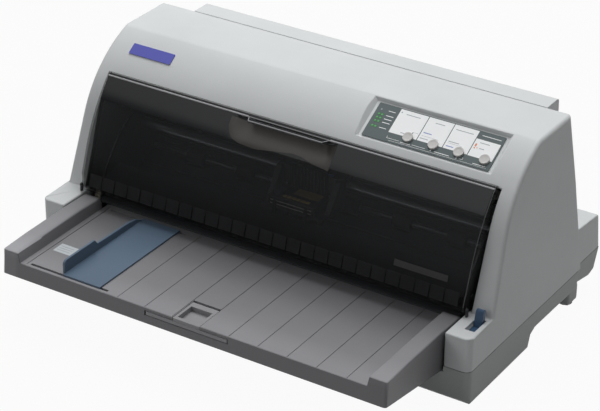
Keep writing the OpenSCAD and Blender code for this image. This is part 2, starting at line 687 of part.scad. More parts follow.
module edge_guide() {
    plate_z = floor_z + slide_gap;
    plate_t = 1.5;
    color("#5B7390") {
        block(guide_x, guide_x + guide_w, slot_y[0] - 1.2, slot_y[1] + 1.2, plate_z, plate_z + plate_t);
        along_x(guide_x - 2.5, guide_x + eps) polygon(concat([[slot_y[0] + 2, plate_z]],
            arc([slot_y[0] + 7, floor_z + fence_h - 5], 5, 180, 90, 5),
            [[-42, floor_z + fence_h], [-37.5, floor_z + fence_h - 5.4], [12, floor_z + fence_h - 6.4],
             [24, floor_z + fence_h - 8.4], [slot_y[1] - 3, plate_z + plate_t], [slot_y[1], plate_z]]));
        for (y = slot_y) block(guide_x, guide_x + guide_w, y - 1.2, y + 1.2, floor_z - table_t - 3,
            plate_z + eps);
        block(guide_x, guide_x + guide_w, slot_y[0] - 1.2, slot_y[0] + 3.5, floor_z - table_t - 3,
            floor_z - table_t - slide_gap);
        block(guide_x, guide_x + guide_w, slot_y[1] - 3.5, slot_y[1] + 1.2, floor_z - table_t - 3,
            floor_z - table_t - slide_gap);
    }
}
module pull_out_support() {
    color("#7C7F82") difference() {
        union() {
            block(-pull_w / 2, pull_w / 2, pull_y[0] + 1.6, pull_y[1], pull_low, floor_z - 0.2);
            block(-pull_w / 2, pull_w / 2, pull_y[0] + 3, pull_back, pull_low, pull_low + pull_stem_t);
            up_z(pull_low, pull_low + pull_stem_t)
                polygon(round_rect(-pull_bar_w / 2, pull_bar_w / 2, pull_y[0] + 1.2, pull_y[0] + 6.4, 2));
        }
        block(-pull_w / 2 + 3.3, pull_w / 2 - 3.3, pull_y[0] + 6, pull_y[1] - 7, floor_z - 5, floor_z + 1);
    }
}

// --- Control panel ---
module panel_overlay() {
    color("#3E4644") panel_frame() difference() {
        block(panel_x0 + 6, panel_x1 - 2.8, -18.5, 18.5, panel_floor, panel_floor + 0.6);
        for (x = button_x) rod_z(x, button_v, -5, 5, button_r + slide_gap);
        for (x = [led_x, led_x + led_pitch], v = led_v) rod_z(x, v, -5, 5, 1);
    }
}
module panel_button(i) {
    color("#9C9D9F") panel_frame() {
        rod_z(button_x[i], button_v, board_w[1] + 3.9, 1.4, button_r);
        rod_z(button_x[i], button_v, panel_pad - 1.8, panel_pad - slide_gap, button_r + 1);
    }
}
module indicator_leds() {
    color("#57D65B") panel_frame() for (x = [led_x, led_x + led_pitch], v = led_v)
        rod_z(x, v, board_w[1], 0, 0.9);
}
module panel_board() {
    color("#2F7D4F") panel_frame() {
        block(panel_x0 + 2, panel_x1 - 2, -17, 17, board_w[0], board_w[1]);
        for (x = button_x) block(x - 3, x + 3, button_v - 3, button_v + 3, board_w[1] - eps,
            board_w[1] + 2.6);
    }
}

// --- Release lever ---
module release_lever() {
    shield_r = 26;
    p = lever_pivot;
    color("#3F5A78") difference() {
        union() {
            rod_x(lever_x0, lever_x1, p[0], p[1], 5);
            along_x(lever_x0, lever_x1) translate(p) rotate(90 - lever_tilt)
                polygon([[0, -3.4], [42, -2.6], [45, -1.2], [45, 1.6], [42, 3], [0, 3.4]]);
            translate([lever_x0, p[0], p[1]]) rotate([90, 0, 90]) rotate([0, 0, 90 - lever_tilt - 36])
                rotate_extrude(angle = 75) translate([shield_r, 0]) square([2.4, lever_x1 - lever_x0]);
        }
        rod_x(lever_x0 - 1, lever_x1 + 1, p[0], p[1], lever_pin_r + turn_fit);
    }
}
module lever_pin() {
    color("silver") rod_x(lever_x0 - slide_gap - lever_rib_t, half_w - wall - 0.2, lever_pivot[0],
        lever_pivot[1], lever_pin_r);
}

// --- Power switch ---
rocker_c = [31, 52.5];
rocker_x = -half_w + 3.6;
module power_switch() {
    color("#1A1A1B") difference() {
        union() {
            block(switch_seat_x - 1, switch_seat_x, 18.4, 43.6, 42.8, 62.2);
            block(switch_seat_x - eps, -half_w + 17, 20.6, 41.4, 45, 60);
            for (y = [24, 31, 38]) block(-half_w + 17 - eps, -half_w + 23, y - 2.4, y + 2.4, 52, 52.8);
        }
        block(-half_w, -half_w + 12, 22.6, 39.4, 47, 58);
        translate([rocker_x, 31, 46]) cylinder(h = 13, r = 1 + turn_fit);
    }
}
module power_rocker() {
    color("#101011") {
        translate([rocker_x, rocker_c[0], 47.2]) linear_extrude(10.6)
            polygon([[1, -8], [-2.6, -8], [-0.6, 0], [-1.6, 8], [2, 8]]);
        translate([rocker_x, rocker_c[0], 46.1]) cylinder(h = 12.8, r = 1);
    }
}

// --- Mechanism frame ---
module side_frame(x0) {
    front = hood_y + 8;
    along_x(x0, x0 + frame_t) polygon([[front, frame_z], [step_y - 5, frame_z], [step_y - 5, frame_rear_z],
        [rear_feed[0] + 54, frame_rear_z], [rear_feed[0] + 54, 94], [rail_y[1] + 2, rail_z - 2],
        [rail_y[1] + 2, rail_z + 16], [rail_y[0] - 16, rail_z + 16], [front + 32, 118], [front + 8, 90],
            [front, 70]]);
}
module frame_bores(x0) {
    for (c = [front_feed, rear_feed]) rod_x(x0 - 1, x0 + frame_t + 1, c[0], c[1], feed_shaft_r + turn_fit);
    for (c = [front_pinch, rear_pinch]) rod_x(x0 - 1, x0 + frame_t + 1, c[0], c[1], pinch_shaft_r + turn_fit);
    rod_x(x0 - 1, x0 + frame_t + 1, shaft_c[0], shaft_c[1], guide_shaft_r + 0.03);
}
module frame_feet(x0, x1) {
    block(x0, x1, hood_y + 10, step_y - 8, frame_z, frame_z + frame_t);
    block(x0, x1, rear_feed[0] + 4, rear_feed[0] + 52, frame_rear_z, frame_rear_z + frame_t);
}
module side_frame_left() {
    color("#A9ADB0") {
        difference() {
            side_frame(-frame_x);
            frame_bores(-frame_x);
            rod_x(-frame_x - 1, -frame_in + 1, pinion_c[0], pinion_c[1], 8);
        }
        frame_feet(-frame_in - eps, -frame_in + 12);
        for (c = [idler_c, tractor_idler_c]) rod_x(gear_x0 - 1, -frame_x + eps, c[0], c[1], stud_r);
    }
}
module side_frame_right() {
    color("#A9ADB0") {
        difference() {
            side_frame(frame_in);
            frame_bores(frame_in);
        }
        frame_feet(frame_in - 12, frame_in + eps);
    }
}
module carriage_shaft() {
    color("#D5D8DB") rod_x(-frame_x - 2, frame_x + 2, shaft_c[0], shaft_c[1], guide_shaft_r);
}
module carriage_rail() {
    color("#A9ADB0") {
        difference() {
            block(-frame_in, frame_in, rail_y[0], rail_y[1], rail_z, rail_z + rail_t);
            rod_z(-pulley_x, pulley_y, rail_z - 1, rail_z + rail_t + 1, motor_shaft_r + 0.5);
        }
        block(-frame_in, frame_in, rail_y[0], rail_y[0] + rail_t, rail_z, rail_z + lip_h);
        block(-frame_in, frame_in, rail_y[1] - rail_t, rail_y[1], rail_z - 12, rail_z + rail_t);
        rod_z(pulley_x, pulley_y, rail_z + eps, pulley_z[1] + 1.4, motor_shaft_r);
    }
}

// --- Carriage ---
module carriage() {
    w = carriage_w / 2;
    clamp_y = pulley_y - belt_in_r - belt_t;
    color("#2A2B2D") translate([carriage_x, 0, 0]) difference() {
        union() {
            block(-w, w, shaft_c[0] - 11, rail_y[0] - slide_gap, 103, rail_z - slide_gap);
            block(-w + 2, w - 2, shaft_c[0] - 45.5, shaft_c[0] - 10, carriage_deck_z, carriage_deck_z + 2.4);
            both_sides() along_x(w - 6, w) polygon([[shaft_c[0] - 34, carriage_deck_z], [shaft_c[0] - 8,
                carriage_deck_z],
                [shaft_c[0] - 8, 103 + eps], [shaft_c[0] - 10, 121], [shaft_c[0] - 16, 121],
                    [shaft_c[0] - 34, carriage_deck_z + 3]]);
            block(-14, 14, shaft_c[0] - 5, shaft_c[0] + 2, rail_z - 1, 134.5);
            block(-14, 14, shaft_c[0] - 5, clamp_y + 6, 133.5, 136);
            for (y = [clamp_y - 2.5, clamp_y + belt_t + 0.4])
                block(-8, 8, y, y + 2, pulley_z[0] + 1, 134);
        }
        rod_x(-w - 1, w + 1, shaft_c[0], shaft_c[1], guide_shaft_r + turn_fit);
        rod_z(0, platen_y, 60, 120, 14.5 + slide_gap);
        block(-20.3, 20.3, platen_y + 5.7, platen_y + 12.3, carriage_deck_z - 1, carriage_deck_z + 3);
    }
}
module print_head() {
    color("#55585B") translate([carriage_x, 0, 0]) {
        rod_z(0, platen_y, 75, carriage_deck_z + 2.4, 14.5);
        translate([0, platen_y, 68.4]) cylinder(h = 6.6 + eps, r1 = 4, r2 = 9);
        for (i = [-5:5]) block(i * 3.8 - 0.7, i * 3.8 + 0.7, platen_y + 6, platen_y + 11.4,
            carriage_deck_z - 0.5, 126);
        block(-20, 20, platen_y + 9.4, platen_y + 11.4, carriage_deck_z - 0.5, 128);
    }
}
cartridge_y = [platen_y - 24, platen_y + 4.5];
cartridge_z = [carriage_deck_z + 2.5, carriage_deck_z + 13.5];
knob_r = 6;
module ribbon_cartridge() {
    color("#161719") translate([carriage_x, 0, 0]) {
        difference() {
            up_z(cartridge_z[0], cartridge_z[1]) polygon(round_rect(-27, 27, cartridge_y[0],
                cartridge_y[1], 3));
            rod_z(-17, cartridge_y[0] + 9, cartridge_z[0] - 1, cartridge_z[1] + 1, 2 + turn_fit);
        }
        for (s = [-1, 1]) {
            block(17.5 * s - 1.5, 17.5 * s + 1.5, platen_y - 6, platen_y + 4.5, 67.6,
                carriage_deck_z - slide_gap);
            block(17.5 * s - 1.5, 17.5 * s + 1.5, platen_y - 26, platen_y - 4, 87.5,
                carriage_deck_z - slide_gap);
            block(17.5 * s - 1.5, 17.5 * s + 1.5, platen_y - 26.5, platen_y - 23, 87.5, cartridge_z[1] - 3);
        }
        block(-17, 17, platen_y - 5, platen_y + 3.5, 67.7, 67.9);
    }
}
module ribbon_knob() {
    color("#2C4F86") translate([carriage_x, 0, 0]) {
        rod_z(-17, cartridge_y[0] + 9, cartridge_z[0] + 0.4, cartridge_z[1] + 1, 2);
        rod_z(-17, cartridge_y[0] + 9, cartridge_z[1] + slide_gap, cartridge_z[1] + 5, knob_r);
    }
}
module carriage_motor() {
    color("#3A3C3F") difference() {
        union() {
            rod_z(-pulley_x, pulley_y, rail_z - 28, rail_z, feed_motor_r);
            block(-pulley_x - 20, -pulley_x + 20, pulley_y - 20, pulley_y + 20, rail_z - 2, rail_z);
        }
        rod_z(-pulley_x, pulley_y, rail_z - 20, rail_z + 1, motor_shaft_r + turn_fit);
    }
}
module pulley(x) {
    rod_z(x, pulley_y, pulley_z[0], pulley_z[1], pulley_r);
    for (z = [pulley_z[0], pulley_z[1] - 0.8]) rod_z(x, pulley_y, z, z + 0.8, pulley_r + 2.4);
}
module motor_pulley() {
    color("#D8D2B8") {
        pulley(-pulley_x);
        rod_z(-pulley_x, pulley_y, rail_z - 19, pulley_z[1] + 1, motor_shaft_r);
    }
}
module idler_pulley() {
    color("#D8D2B8") difference() {
        pulley(pulley_x);
        rod_z(pulley_x, pulley_y, rail_z, pulley_z[1] + 1, motor_shaft_r + turn_fit);
    }
}
module drive_belt() {
    color("#1C1C1D") up_z(pulley_z[0] + 1.1, pulley_z[1] - 1.1) difference() {
        polygon(stadium([-pulley_x, pulley_y], [pulley_x, pulley_y], belt_in_r + belt_t));
        polygon(stadium([-pulley_x, pulley_y], [pulley_x, pulley_y], belt_in_r));
    }
}

// --- Paper path ---
module platen_bar() {
    color("#2E3032") along_x(-frame_in, frame_in) polygon([[platen_y - 6, 56], [platen_y + 6, 56],
        [platen_y + 6, path_z(platen_y + 6) - guide_drop], [platen_y - 6, path_z(platen_y - 6)
            - guide_drop]]);
}
module front_paper_guide() {
    y = front_pinch[0];
    z = front_pinch[1] + pinch_r;
    low = path_z(y + 15.5) + 3;
    color("#26282A") along_x(-frame_in, frame_in) polygon([[y - 18.5, z + 0.8], [y + 13, z + 7],
        [y + 15.5, low], [y + 13.9, low], [y + 11.8, z + 5], [y - 18.5, z - 0.8]]);
}
module path_plate(y0, y1, low, t) {
    along_x(-frame_in, frame_in) polygon([[y0, path_z(y0) + low - t], [y1, path_z(y1) + low - t],
        [y1, path_z(y1) + low], [y0, path_z(y0) + low]]);
}
module roller_slots(y, half, z) {
    for (x = roller_places) block(x - roller_w / 2 - 1, x + roller_w / 2 + 1, y - half, y + half, z - 12,
        z + 12);
}
module lower_paper_guide() {
    color("#3A3D3F") {
        difference() {
            path_plate(floor_back + 0.5, platen_y - 6.3, -guide_drop, guide_t);
            roller_slots(front_feed[0], 7.5, path_z(front_feed[0]));
        }
        difference() {
            path_plate(platen_y + 6.3, housing_y - 14, -guide_drop, guide_t);
            roller_slots(rear_feed[0], 7.5, path_z(rear_feed[0]));
        }
    }
}
module rear_paper_guide() {
    color("#303335") difference() {
        path_plate(platen_y + 18, housing_y - 14, upper_guide_lift + guide_t, guide_t);
        roller_slots(rear_pinch[0], 8.5, path_z(rear_pinch[0]));
    }
}
module roller(c, shaft_r, rubber_r, x0, x1) {
    rod_x(x0, x1, c[0], c[1], shaft_r);
    for (x = roller_places) rod_x(x - roller_w / 2, x + roller_w / 2, c[0], c[1], rubber_r);
}
module front_feed_roller() {
    color("#3B3B3C") {
        roller(front_feed, feed_shaft_r, feed_r, gear_x0 - 1, frame_x + 2);
        gear(front_feed, feed_teeth, front_gear_phase);
    }
}
module rear_feed_roller() {
    color("#3B3B3C") {
        roller(rear_feed, feed_shaft_r, feed_r, gear_x0 - 1, frame_x + 2);
        gear(rear_feed, feed_teeth, rear_gear_phase);
    }
}
module front_pinch_roller() {
    color("#8F9294") roller(front_pinch, pinch_shaft_r, pinch_r, -frame_x - 1.5, frame_x + 1.5);
}
module rear_pinch_roller() {
    color("#8F9294") roller(rear_pinch, pinch_shaft_r, pinch_r, -frame_x - 1.5, frame_x + 1.5);
}
module feed_motor() {
    color("#3A3C3F") difference() {
        rod_x(-frame_in, -frame_in + 36, pinion_c[0], pinion_c[1], feed_motor_r);
        rod_x(-frame_in - 1, -frame_in + 20, pinion_c[0], pinion_c[1], motor_shaft_r + turn_fit);
    }
}
module feed_pinion() {
    color("#C9B26A") {
        gear(pinion_c, pinion_teeth, pinion_phase);
        rod_x(gear_x0 - 1, -frame_in + 18, pinion_c[0], pinion_c[1], motor_shaft_r);
    }
}
module bored_gear(c, teeth, phase) {
    difference() {
        gear(c, teeth, phase);
        rod_x(gear_x0 - 1, gear_x1 + 1, c[0], c[1], stud_r + turn_fit);
    }
}
module feed_idler_gear() {
    color("#E6E2D2") bored_gear(idler_c, idler_teeth, 0);
}
module tractor_idler_gear() {
    color("#E6E2D2") bored_gear(tractor_idler_c, tractor_idler_teeth, tractor_idler_phase);
}

// --- Tractors ---
module tractor_frame() {
    color("#2B2D2F") {
        difference() {
            for (x = bracket_x) along_x(x, x + bracket_t) polygon([[tractor_c[0] - 7,
                deck_z(tractor_c[0] - 7)],
                [rod_c[0] + 7, deck_z(rod_c[0] + 7)], [rod_c[0] + 7, rod_c[1] + 4], [tractor_c[0] + 8,
                    tractor_high],
                [tractor_c[0] - 5, tractor_high], [tractor_c[0] - 7, tractor_high - 4]]);
            rod_x(-half_w, half_w, tractor_c[0], tractor_c[1], pinch_shaft_r + turn_fit);
        }
        rod_x(bracket_x[0] + eps, bracket_x[1] + bracket_t - eps, rod_c[0], rod_c[1], rod_r);
    }
}
module tractor_shaft() {
    color("#D5D8DB") {
        rod_x(gear_x0 - 1, bracket_x[1] + bracket_t + 1, tractor_c[0], tractor_c[1], pinch_shaft_r);
        block(bracket_x[0] + bracket_t + 0.5, bracket_x[1] - 0.5, tractor_c[0] - square_side / 2,
            tractor_c[0] + square_side / 2,
            tractor_c[1] - square_side / 2, tractor_c[1] + square_side / 2);
        gear(tractor_c, tractor_teeth, tractor_phase);
    }
}
module tractor(x) {
    top = tractor_c[1] + 6;
    color("#1F2123") translate([x, 0, 0]) {
        difference() {
            along_x(-tractor_w / 2, tractor_w / 2) polygon([[tractor_c[0] - 8, tractor_low + 2],
                [tractor_c[0] - 6, tractor_low],
                [rod_c[0] + 6, tractor_low], [rod_c[0] + 7, tractor_low + 3], [rod_c[0] + 7, top],
                    [tractor_c[0] - 8, top]]);
            rod_x(-tractor_w, tractor_w, tractor_c[0], tractor_c[1], square_side * sqrt(2) / 2 + turn_fit);
            rod_x(-tractor_w, tractor_w, rod_c[0], rod_c[1], rod_r + turn_fit);
        }
        for (i = [-0.5:2.5]) translate([0, tractor_c[0] + 2 + i * 12.7, top - eps]) cylinder(h = 2.2,
            r1 = 1.8, r2 = 1);
        for (y = [tractor_c[0] + 8, rod_c[0] + 4]) block(-tractor_w / 2, -tractor_w / 2 + 2.5, y, y + 2.5,
            top - eps, top + 4.4);
    }
}
module tractor_left() {
    tractor(tractor_left_x);
}
module tractor_right() {
    mirror([1, 0, 0]) tractor(-tractor_right_x);
}
module tractor_lid(x) {
    top = tractor_c[1] + 6;
    y0 = tractor_c[0] + 10.5 + slide_gap;
    y1 = rod_c[0] + 4 - slide_gap;
    color("#26292B") translate([x, 0, 0]) difference() {
        union() {
            block(-tractor_w / 2 + 2.8, tractor_w / 2, y0, y1, top + 2.6, top + 4.4);
            translate([-tractor_w / 2 + 1.5, y0, top + 2.9]) rotate([-90, 0, 0]) cylinder(h = y1 - y0,
                r = 1.5);
            block(-tractor_w / 2 + 1.5, -tractor_w / 2 + 3, y0, y1, top + 2.6, top + 4.4);
        }
        block(-2.2, 2.2, y0 + 2, y1 - 2, top, top + 6);
    }
}
module tractor_lid_left() {
    tractor_lid(tractor_left_x);
}
module tractor_lid_right() {
    mirror([1, 0, 0]) tractor_lid(-tractor_right_x);
}

// --- Electronics and connectors ---
module main_board() {
    color("#2F7D4F") {
        block(board_x[0], board_x[1], board_y[0], board_y[1], board_z, board_z + board_t);
        for (i = [0:4]) let (x = board_x[0] + 10 + 26 * i) block(x, x + 16, board_y[0] + 10, board_y[0] + 26,
            board_z + board_t - eps, board_z + board_t + 3);
        for (i = [0:2]) rod_z(board_x[1] - 60 + 16 * i, board_y[0] + 16, board_z + board_t - eps,
            board_z + board_t + 12, 5);
    }
}
module power_supply() {
    color("#B9BCBE") difference() {
        block(supply_x[0], supply_x[1], supply_y[0], supply_y[1], supply_z, supply_z + 34);
        block(supply_x[0] + 1.2, supply_x[1] - 1.2, supply_y[0] + 1.2, supply_y[1] - 1.2, supply_z + 1.2,
            supply_z + 40);
    }
    color("#C9A24B") block(supply_x[0] + 30, supply_x[0] + 70, supply_y[0] + 19, supply_y[0] + 59,
        supply_z + 1.2 - eps, supply_z + 28);
}
module ac_inlet() {
    d = 22;
    color("#141415") difference() {
        block(inlet_x - inlet_w / 2 + 0.1, inlet_x + inlet_w / 2 - 0.1, rear_face_y - d, rear_face_y,
            inlet_z - inlet_h / 2 + 0.1, inlet_z + inlet_h / 2 - 0.1);
        block(inlet_x - 12, inlet_x + 12, rear_face_y - 17, rear_face_y + 1, inlet_z - 8, inlet_z + 8);
    }
    color("silver") for (p = [[-7, -2], [0, 2], [7, -2]])
        block(inlet_x + p[0] - 1, inlet_x + p[0] + 1, rear_face_y - 17 - eps, rear_face_y - 3,
            inlet_z + p[1] - 2, inlet_z + p[1] + 2);
}
module parallel_connector() {
    z = board_z + board_t;
    color("#B9BCBE") difference() {
        block(parallel_x - parallel_w / 2 + 0.3, parallel_x + parallel_w / 2 - 0.3, rear_face_y - 20,
            rear_face_y + 0.5, z, z + 13.5);
        block(parallel_x - 26, parallel_x + 26, rear_face_y - 9, rear_face_y + 2, z + 1.2, z + 12.3);
    }
    color("#1C1C1D") block(parallel_x - 22, parallel_x + 22, rear_face_y - 9 - eps, rear_face_y - 1, z + 5,
        z + 7);
}
module usb_connector() {
    z = board_z + board_t;
    color("#C7CACC") difference() {
        block(usb_x - 6, usb_x + 6, rear_face_y - 16, rear_face_y, z, z + 11);
        block(usb_x - 4.8, usb_x + 4.8, rear_face_y - 10, rear_face_y + 1, z + 1.2, z + 9.8);
    }
    color("#F0F0EC") block(usb_x - 2.6, usb_x + 2.6, rear_face_y - 10 - eps, rear_face_y - 1.5, z + 3.8,
        z + 7);
}

// --- Fasteners and feet ---
module case_screws() {
    color("silver") both_sides() {
        rod_z(screw_x, screw_front_y, foot_h + 2, foot_h + 4, screw_head_r);
        rod_z(screw_x, screw_front_y, foot_h + 3, split_z + 11, screw_r);
        rod_z(screw_x, screw_rear_y, rear_base_z + 2, rear_base_z + 4, screw_head_r);
        rod_z(screw_x, screw_rear_y, rear_base_z + 3, split_z + 11, screw_r);
    }
}
module rubber_feet() {
    color("#2A2A2B") both_sides() {
        rod_z(half_w - 30, 24, 0, foot_h, 9);
        rod_z((pod_x0 + pod_x1) / 2, (pod_y0 + pod_y1) / 2, 0, foot_h, 7);
    }
}

place() lower_case();
place() upper_case();
place() rear_cover();
place() front_cover();
place() cover_guide_strip();
place() cover_blank_strip();
place() cover_hinge_pins();
place() badge_plate();
place() paper_table();
place() table_label();
place() edge_guide();
place() pull_out_support();
place() panel_overlay();
place() panel_button(0);  // panel_button_1
place() panel_button(1);  // panel_button_2
place() panel_button(2);  // panel_button_3
place() panel_button(3);  // panel_button_4
place() indicator_leds();
place() panel_board();
place() release_lever();
place() lever_pin();
place() power_switch();
place() power_rocker();
place() side_frame_left();
place() side_frame_right();
place() carriage_shaft();
place() carriage_rail();
place() carriage();
place() print_head();
place() ribbon_cartridge();
place() ribbon_knob();
place() carriage_motor();
place() motor_pulley();
place() idler_pulley();
place() drive_belt();
place() platen_bar();
place() front_paper_guide();
place() lower_paper_guide();
place() rear_paper_guide();
place() front_feed_roller();
place() rear_feed_roller();
place() front_pinch_roller();
place() rear_pinch_roller();
place() feed_motor();
place() feed_pinion();
place() feed_idler_gear();
place() tractor_idler_gear();
place() tractor_frame();
place() tractor_shaft();
place() tractor_left();
place() tractor_right();
place() tractor_lid_left();
place() tractor_lid_right();
place() main_board();
place() power_supply();
place() ac_inlet();
place() parallel_connector();
place() usb_connector();
place() case_screws();
place() rubber_feet();
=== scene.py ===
"""Dresses a flatbed dot matrix printer: rounded mouldings, smoked cover, printed panel and mechanism."""

import math

import bmesh
import bpy
from mathutils import Matrix, Vector


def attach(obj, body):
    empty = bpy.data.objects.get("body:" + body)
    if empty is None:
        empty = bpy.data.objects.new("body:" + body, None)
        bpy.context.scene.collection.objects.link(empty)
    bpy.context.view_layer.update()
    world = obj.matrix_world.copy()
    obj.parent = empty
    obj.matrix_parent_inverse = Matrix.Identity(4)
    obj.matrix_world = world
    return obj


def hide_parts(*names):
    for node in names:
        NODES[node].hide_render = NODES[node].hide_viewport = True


bl_info = {
    "name": "Flatbed dot matrix printer",
    "version": (1, 0, 0),
    "blender": (4, 5, 0),
    "location": "View3D > Sidebar > Printer",
    "description": "Models the printer's visible pieces round its fixed frame",
    "category": "Object",
}

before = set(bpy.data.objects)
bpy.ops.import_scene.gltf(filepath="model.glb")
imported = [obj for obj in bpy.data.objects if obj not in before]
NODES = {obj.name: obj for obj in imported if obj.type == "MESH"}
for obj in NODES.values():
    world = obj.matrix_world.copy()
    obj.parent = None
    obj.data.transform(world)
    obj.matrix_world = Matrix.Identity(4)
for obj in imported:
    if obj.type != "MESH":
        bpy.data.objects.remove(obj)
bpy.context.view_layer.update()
MM = 0.001


def linear(code):
    """Linear RGB of an sRGB hex colour; a colour from the settings is linear and stays as it is."""
    if not isinstance(code, str):
        return code
    parts = [int(code[i : i + 2], 16) / 255 for i in (1, 3, 5)]
    return [c / 12.92 if c <= 0.04045 else ((c + 0.055) / 1.055) ** 2.4 for c in parts]


# ---------------------------------------------------------------- settings


def colour_setting(name, description, code):
    return bpy.props.FloatVectorProperty(
        name=name, description=description, subtype="COLOR", size=3, min=0, max=1, default=linear(code)
    )


def length_setting(name, description, value):
    return bpy.props.FloatProperty(
        name=name, description=description, subtype="DISTANCE", unit="LENGTH", min=0, default=value * MM
    )


class PrinterColours(bpy.types.PropertyGroup):
    """Colours of the printer's finishes."""

    case: colour_setting("Case", "Light grey of the upper case", "#CDD0D1")
    base: colour_setting("Base", "Grey of the lower case", "#A5A8A8")
    table: colour_setting("Paper table", "Dark grey of the paper table", "#7A7A7D")
    cover: colour_setting("Cover", "Haze of the smoked cover", "#313233")
    guide: colour_setting("Edge guide", "Slate blue of the edge guide", "#566779")
    lever: colour_setting("Lever", "Navy of the release lever", "#3A5470")
    badge: colour_setting("Badge", "Blue of the bare badge plate", "#3A40A8")
    film: colour_setting("Panel film", "Dark grey-green of the panel's film", "#535D5E")


class PrinterSizes(bpy.types.PropertyGroup):
    """Sizes of the rounded edges and of the moulded grain."""

    hood_edge: length_setting("Hood edge", "Radius of the hood's long side edges", 4.0)
    shoulder_edge: length_setting("Shoulder edge", "Radius of the shoulders' upper edges", 1.7)
    rim_edge: length_setting("Rim edge", "Radius of the rims of openings and recesses", 0.8)
    table_edge: length_setting("Table edge", "Radius of the paper table's rims", 1.6)
    joint: length_setting("Joint", "Height of the open joint between the two cases", 0.6)
    small_edge: length_setting("Small edge", "Radius of small moulded edges", 0.5)
    recess_flare: bpy.props.FloatProperty(
        name="Recess flare", description="Run of the panel recess's left wall for each unit of its depth", default=1.1
    )
    scoop: length_setting("Scoop", "Depth of the finger scoop under the cover's lip", 4.5)
    grain: length_setting("Grain", "Distance between two bumps of the moulded grain", 0.7)
    lens: bpy.props.FloatProperty(name="Lens", description="Focal length of the camera", unit="CAMERA", default=136.4)


# ---------------------------------------------------------------- materials


def wire(tree, node, values=None, links=None):
    """Sets a node's socket values and its links, each from a socket or from another node's first output."""
    for name, value in (values or {}).items():
        node.inputs[name].default_value = value
    for name, source in (links or {}).items():
        tree.links.new(getattr(source, "outputs", [source])[0], node.inputs[name])
    return node


def add_node(tree, kind, values=None, links=None, **settings):
    """Adds one shader node with its settings, socket values and incoming links."""
    node = tree.nodes.new("ShaderNode" + kind)
    for name, value in settings.items():
        setattr(node, name, value)
    return wire(tree, node, values, links)


def new_material(name):
    """A material with an empty node tree, its Principled shader and its output."""
    material = bpy.data.materials.new(name)
    material.use_nodes = True
    tree = material.node_tree
    tree.nodes.clear()
    shader = add_node(tree, "BsdfPrincipled")
    add_node(tree, "OutputMaterial", links={"Surface": shader})
    return material, tree, shader


# Sockets by number. MapRange: 0 value, 1 and 2 its span, 3 and 4 the result's. Math: 0 and 1. Mix: 0 factor,
# 2 and 3 numbers, 6 and 7 colours. A noise texture's values lie between 0.3 and 0.7.


def moulded(name, colour, roughness, depth=0.02, mottle=0.03, edge=0.4, painted_fades=(), **extra):
    """Moulded or rubbed solid: spark-eroded grain in the bump, faint flow marks in the colour.

    Each fade (axis, from and to in mm, share before, share after) paints light and shade: it makes one end of the piece
    paler or darker.
    """
    material, tree, shader = new_material(name)
    place = add_node(tree, "TexCoord").outputs["Object"]
    flow = add_node(tree, "TexNoise", {"Scale": 14.0, "Detail": 3.0, "Roughness": 0.6}, {"Vector": place})
    tone = add_node(tree, "MapRange", {1: 0.3, 2: 0.7, 3: 1 - mottle, 4: 1 + mottle}, {0: flow})
    for axis, start, end, before, after in painted_fades:
        split = add_node(tree, "SeparateXYZ", links={0: place})
        fade = add_node(tree, "MapRange", {1: start * MM, 2: end * MM, 3: before, 4: after}, {0: split.outputs[axis]})
        tone = add_node(tree, "Math", links={0: tone, 1: fade}, operation="MULTIPLY")
    ink = {0: 1.0, 6: (*linear(colour), 1)}
    tint = add_node(tree, "Mix", ink, {7: tone}, data_type="RGBA", blend_type="MULTIPLY")
    grain = bpy.context.scene.printer_sizes.grain
    bumps = add_node(tree, "TexNoise", {"Scale": 1 / grain, "Detail": 2.0}, {"Vector": place})
    rounded = add_node(tree, "Bevel", {"Radius": edge * MM}, samples=4)
    relief = add_node(tree, "Bump", {"Strength": 1.0, "Distance": depth * MM}, {"Height": bumps, "Normal": rounded})
    sheen = add_node(tree, "MapRange", {1: 0.3, 2: 0.7, 3: roughness - 0.04, 4: roughness + 0.04}, {0: bumps})
    values = {socket.replace("_", " "): value for socket, value in extra.items()}
    wire(tree, shader, values, {"Base Color": tint.outputs[2], "Roughness": sheen, "Normal": relief})
    return material


def printed(name, code, roughness=0.42):
    """Screen print on film: an even coat of ink with a trace of the film's orange peel."""
    return moulded(name, code, roughness, depth=0.004, mottle=0.012, edge=0.1)


def smoked(name, colour, clear, right=1.2):
    """Smoked polycarbonate, moulded glossy: nearly black, and the works just show through.

    Clear is the share of light that passes, right the share of the colour at the cover's right end, where the paler
    colour is painted light.
    """
    material, tree, shader = new_material(name)
    place = add_node(tree, "TexCoord").outputs["Object"]
    flow = add_node(tree, "TexNoise", {"Scale": 9.0, "Detail": 2.0}, {"Vector": place})
    shade = add_node(tree, "MapRange", {1: 0.3, 2: 0.7, 3: 0.94, 4: 1.06}, {0: flow})
    split = add_node(tree, "SeparateXYZ", links={0: place})
    # painted shade towards the cover's foot and its left end, and a painted reflection, paler, towards its top and its
    # right end
    painted_height_light = add_node(tree, "MapRange", {1: 88 * MM, 2: 112 * MM, 3: 0.3, 4: 1.5}, {0: split.outputs["Z"]})
    across = add_node(tree, "MapRange", {1: -200 * MM, 2: 200 * MM, 3: 0.85, 4: right}, {0: split.outputs["X"]})
    for share in (painted_height_light, across):
        shade = add_node(tree, "Math", links={0: shade, 1: share}, operation="MULTIPLY")
    ink = {0: 1.0, 6: (*linear(colour), 1)}
    tint = add_node(tree, "Mix", ink, {7: shade}, data_type="RGBA", blend_type="MULTIPLY")
    # coated against glare: it mirrors less than bare polycarbonate
    wire(tree, shader, {"Roughness": 0.09, "IOR": 1.3, "Alpha": 1 - clear}, {"Base Color": tint.outputs[2]})
    return material


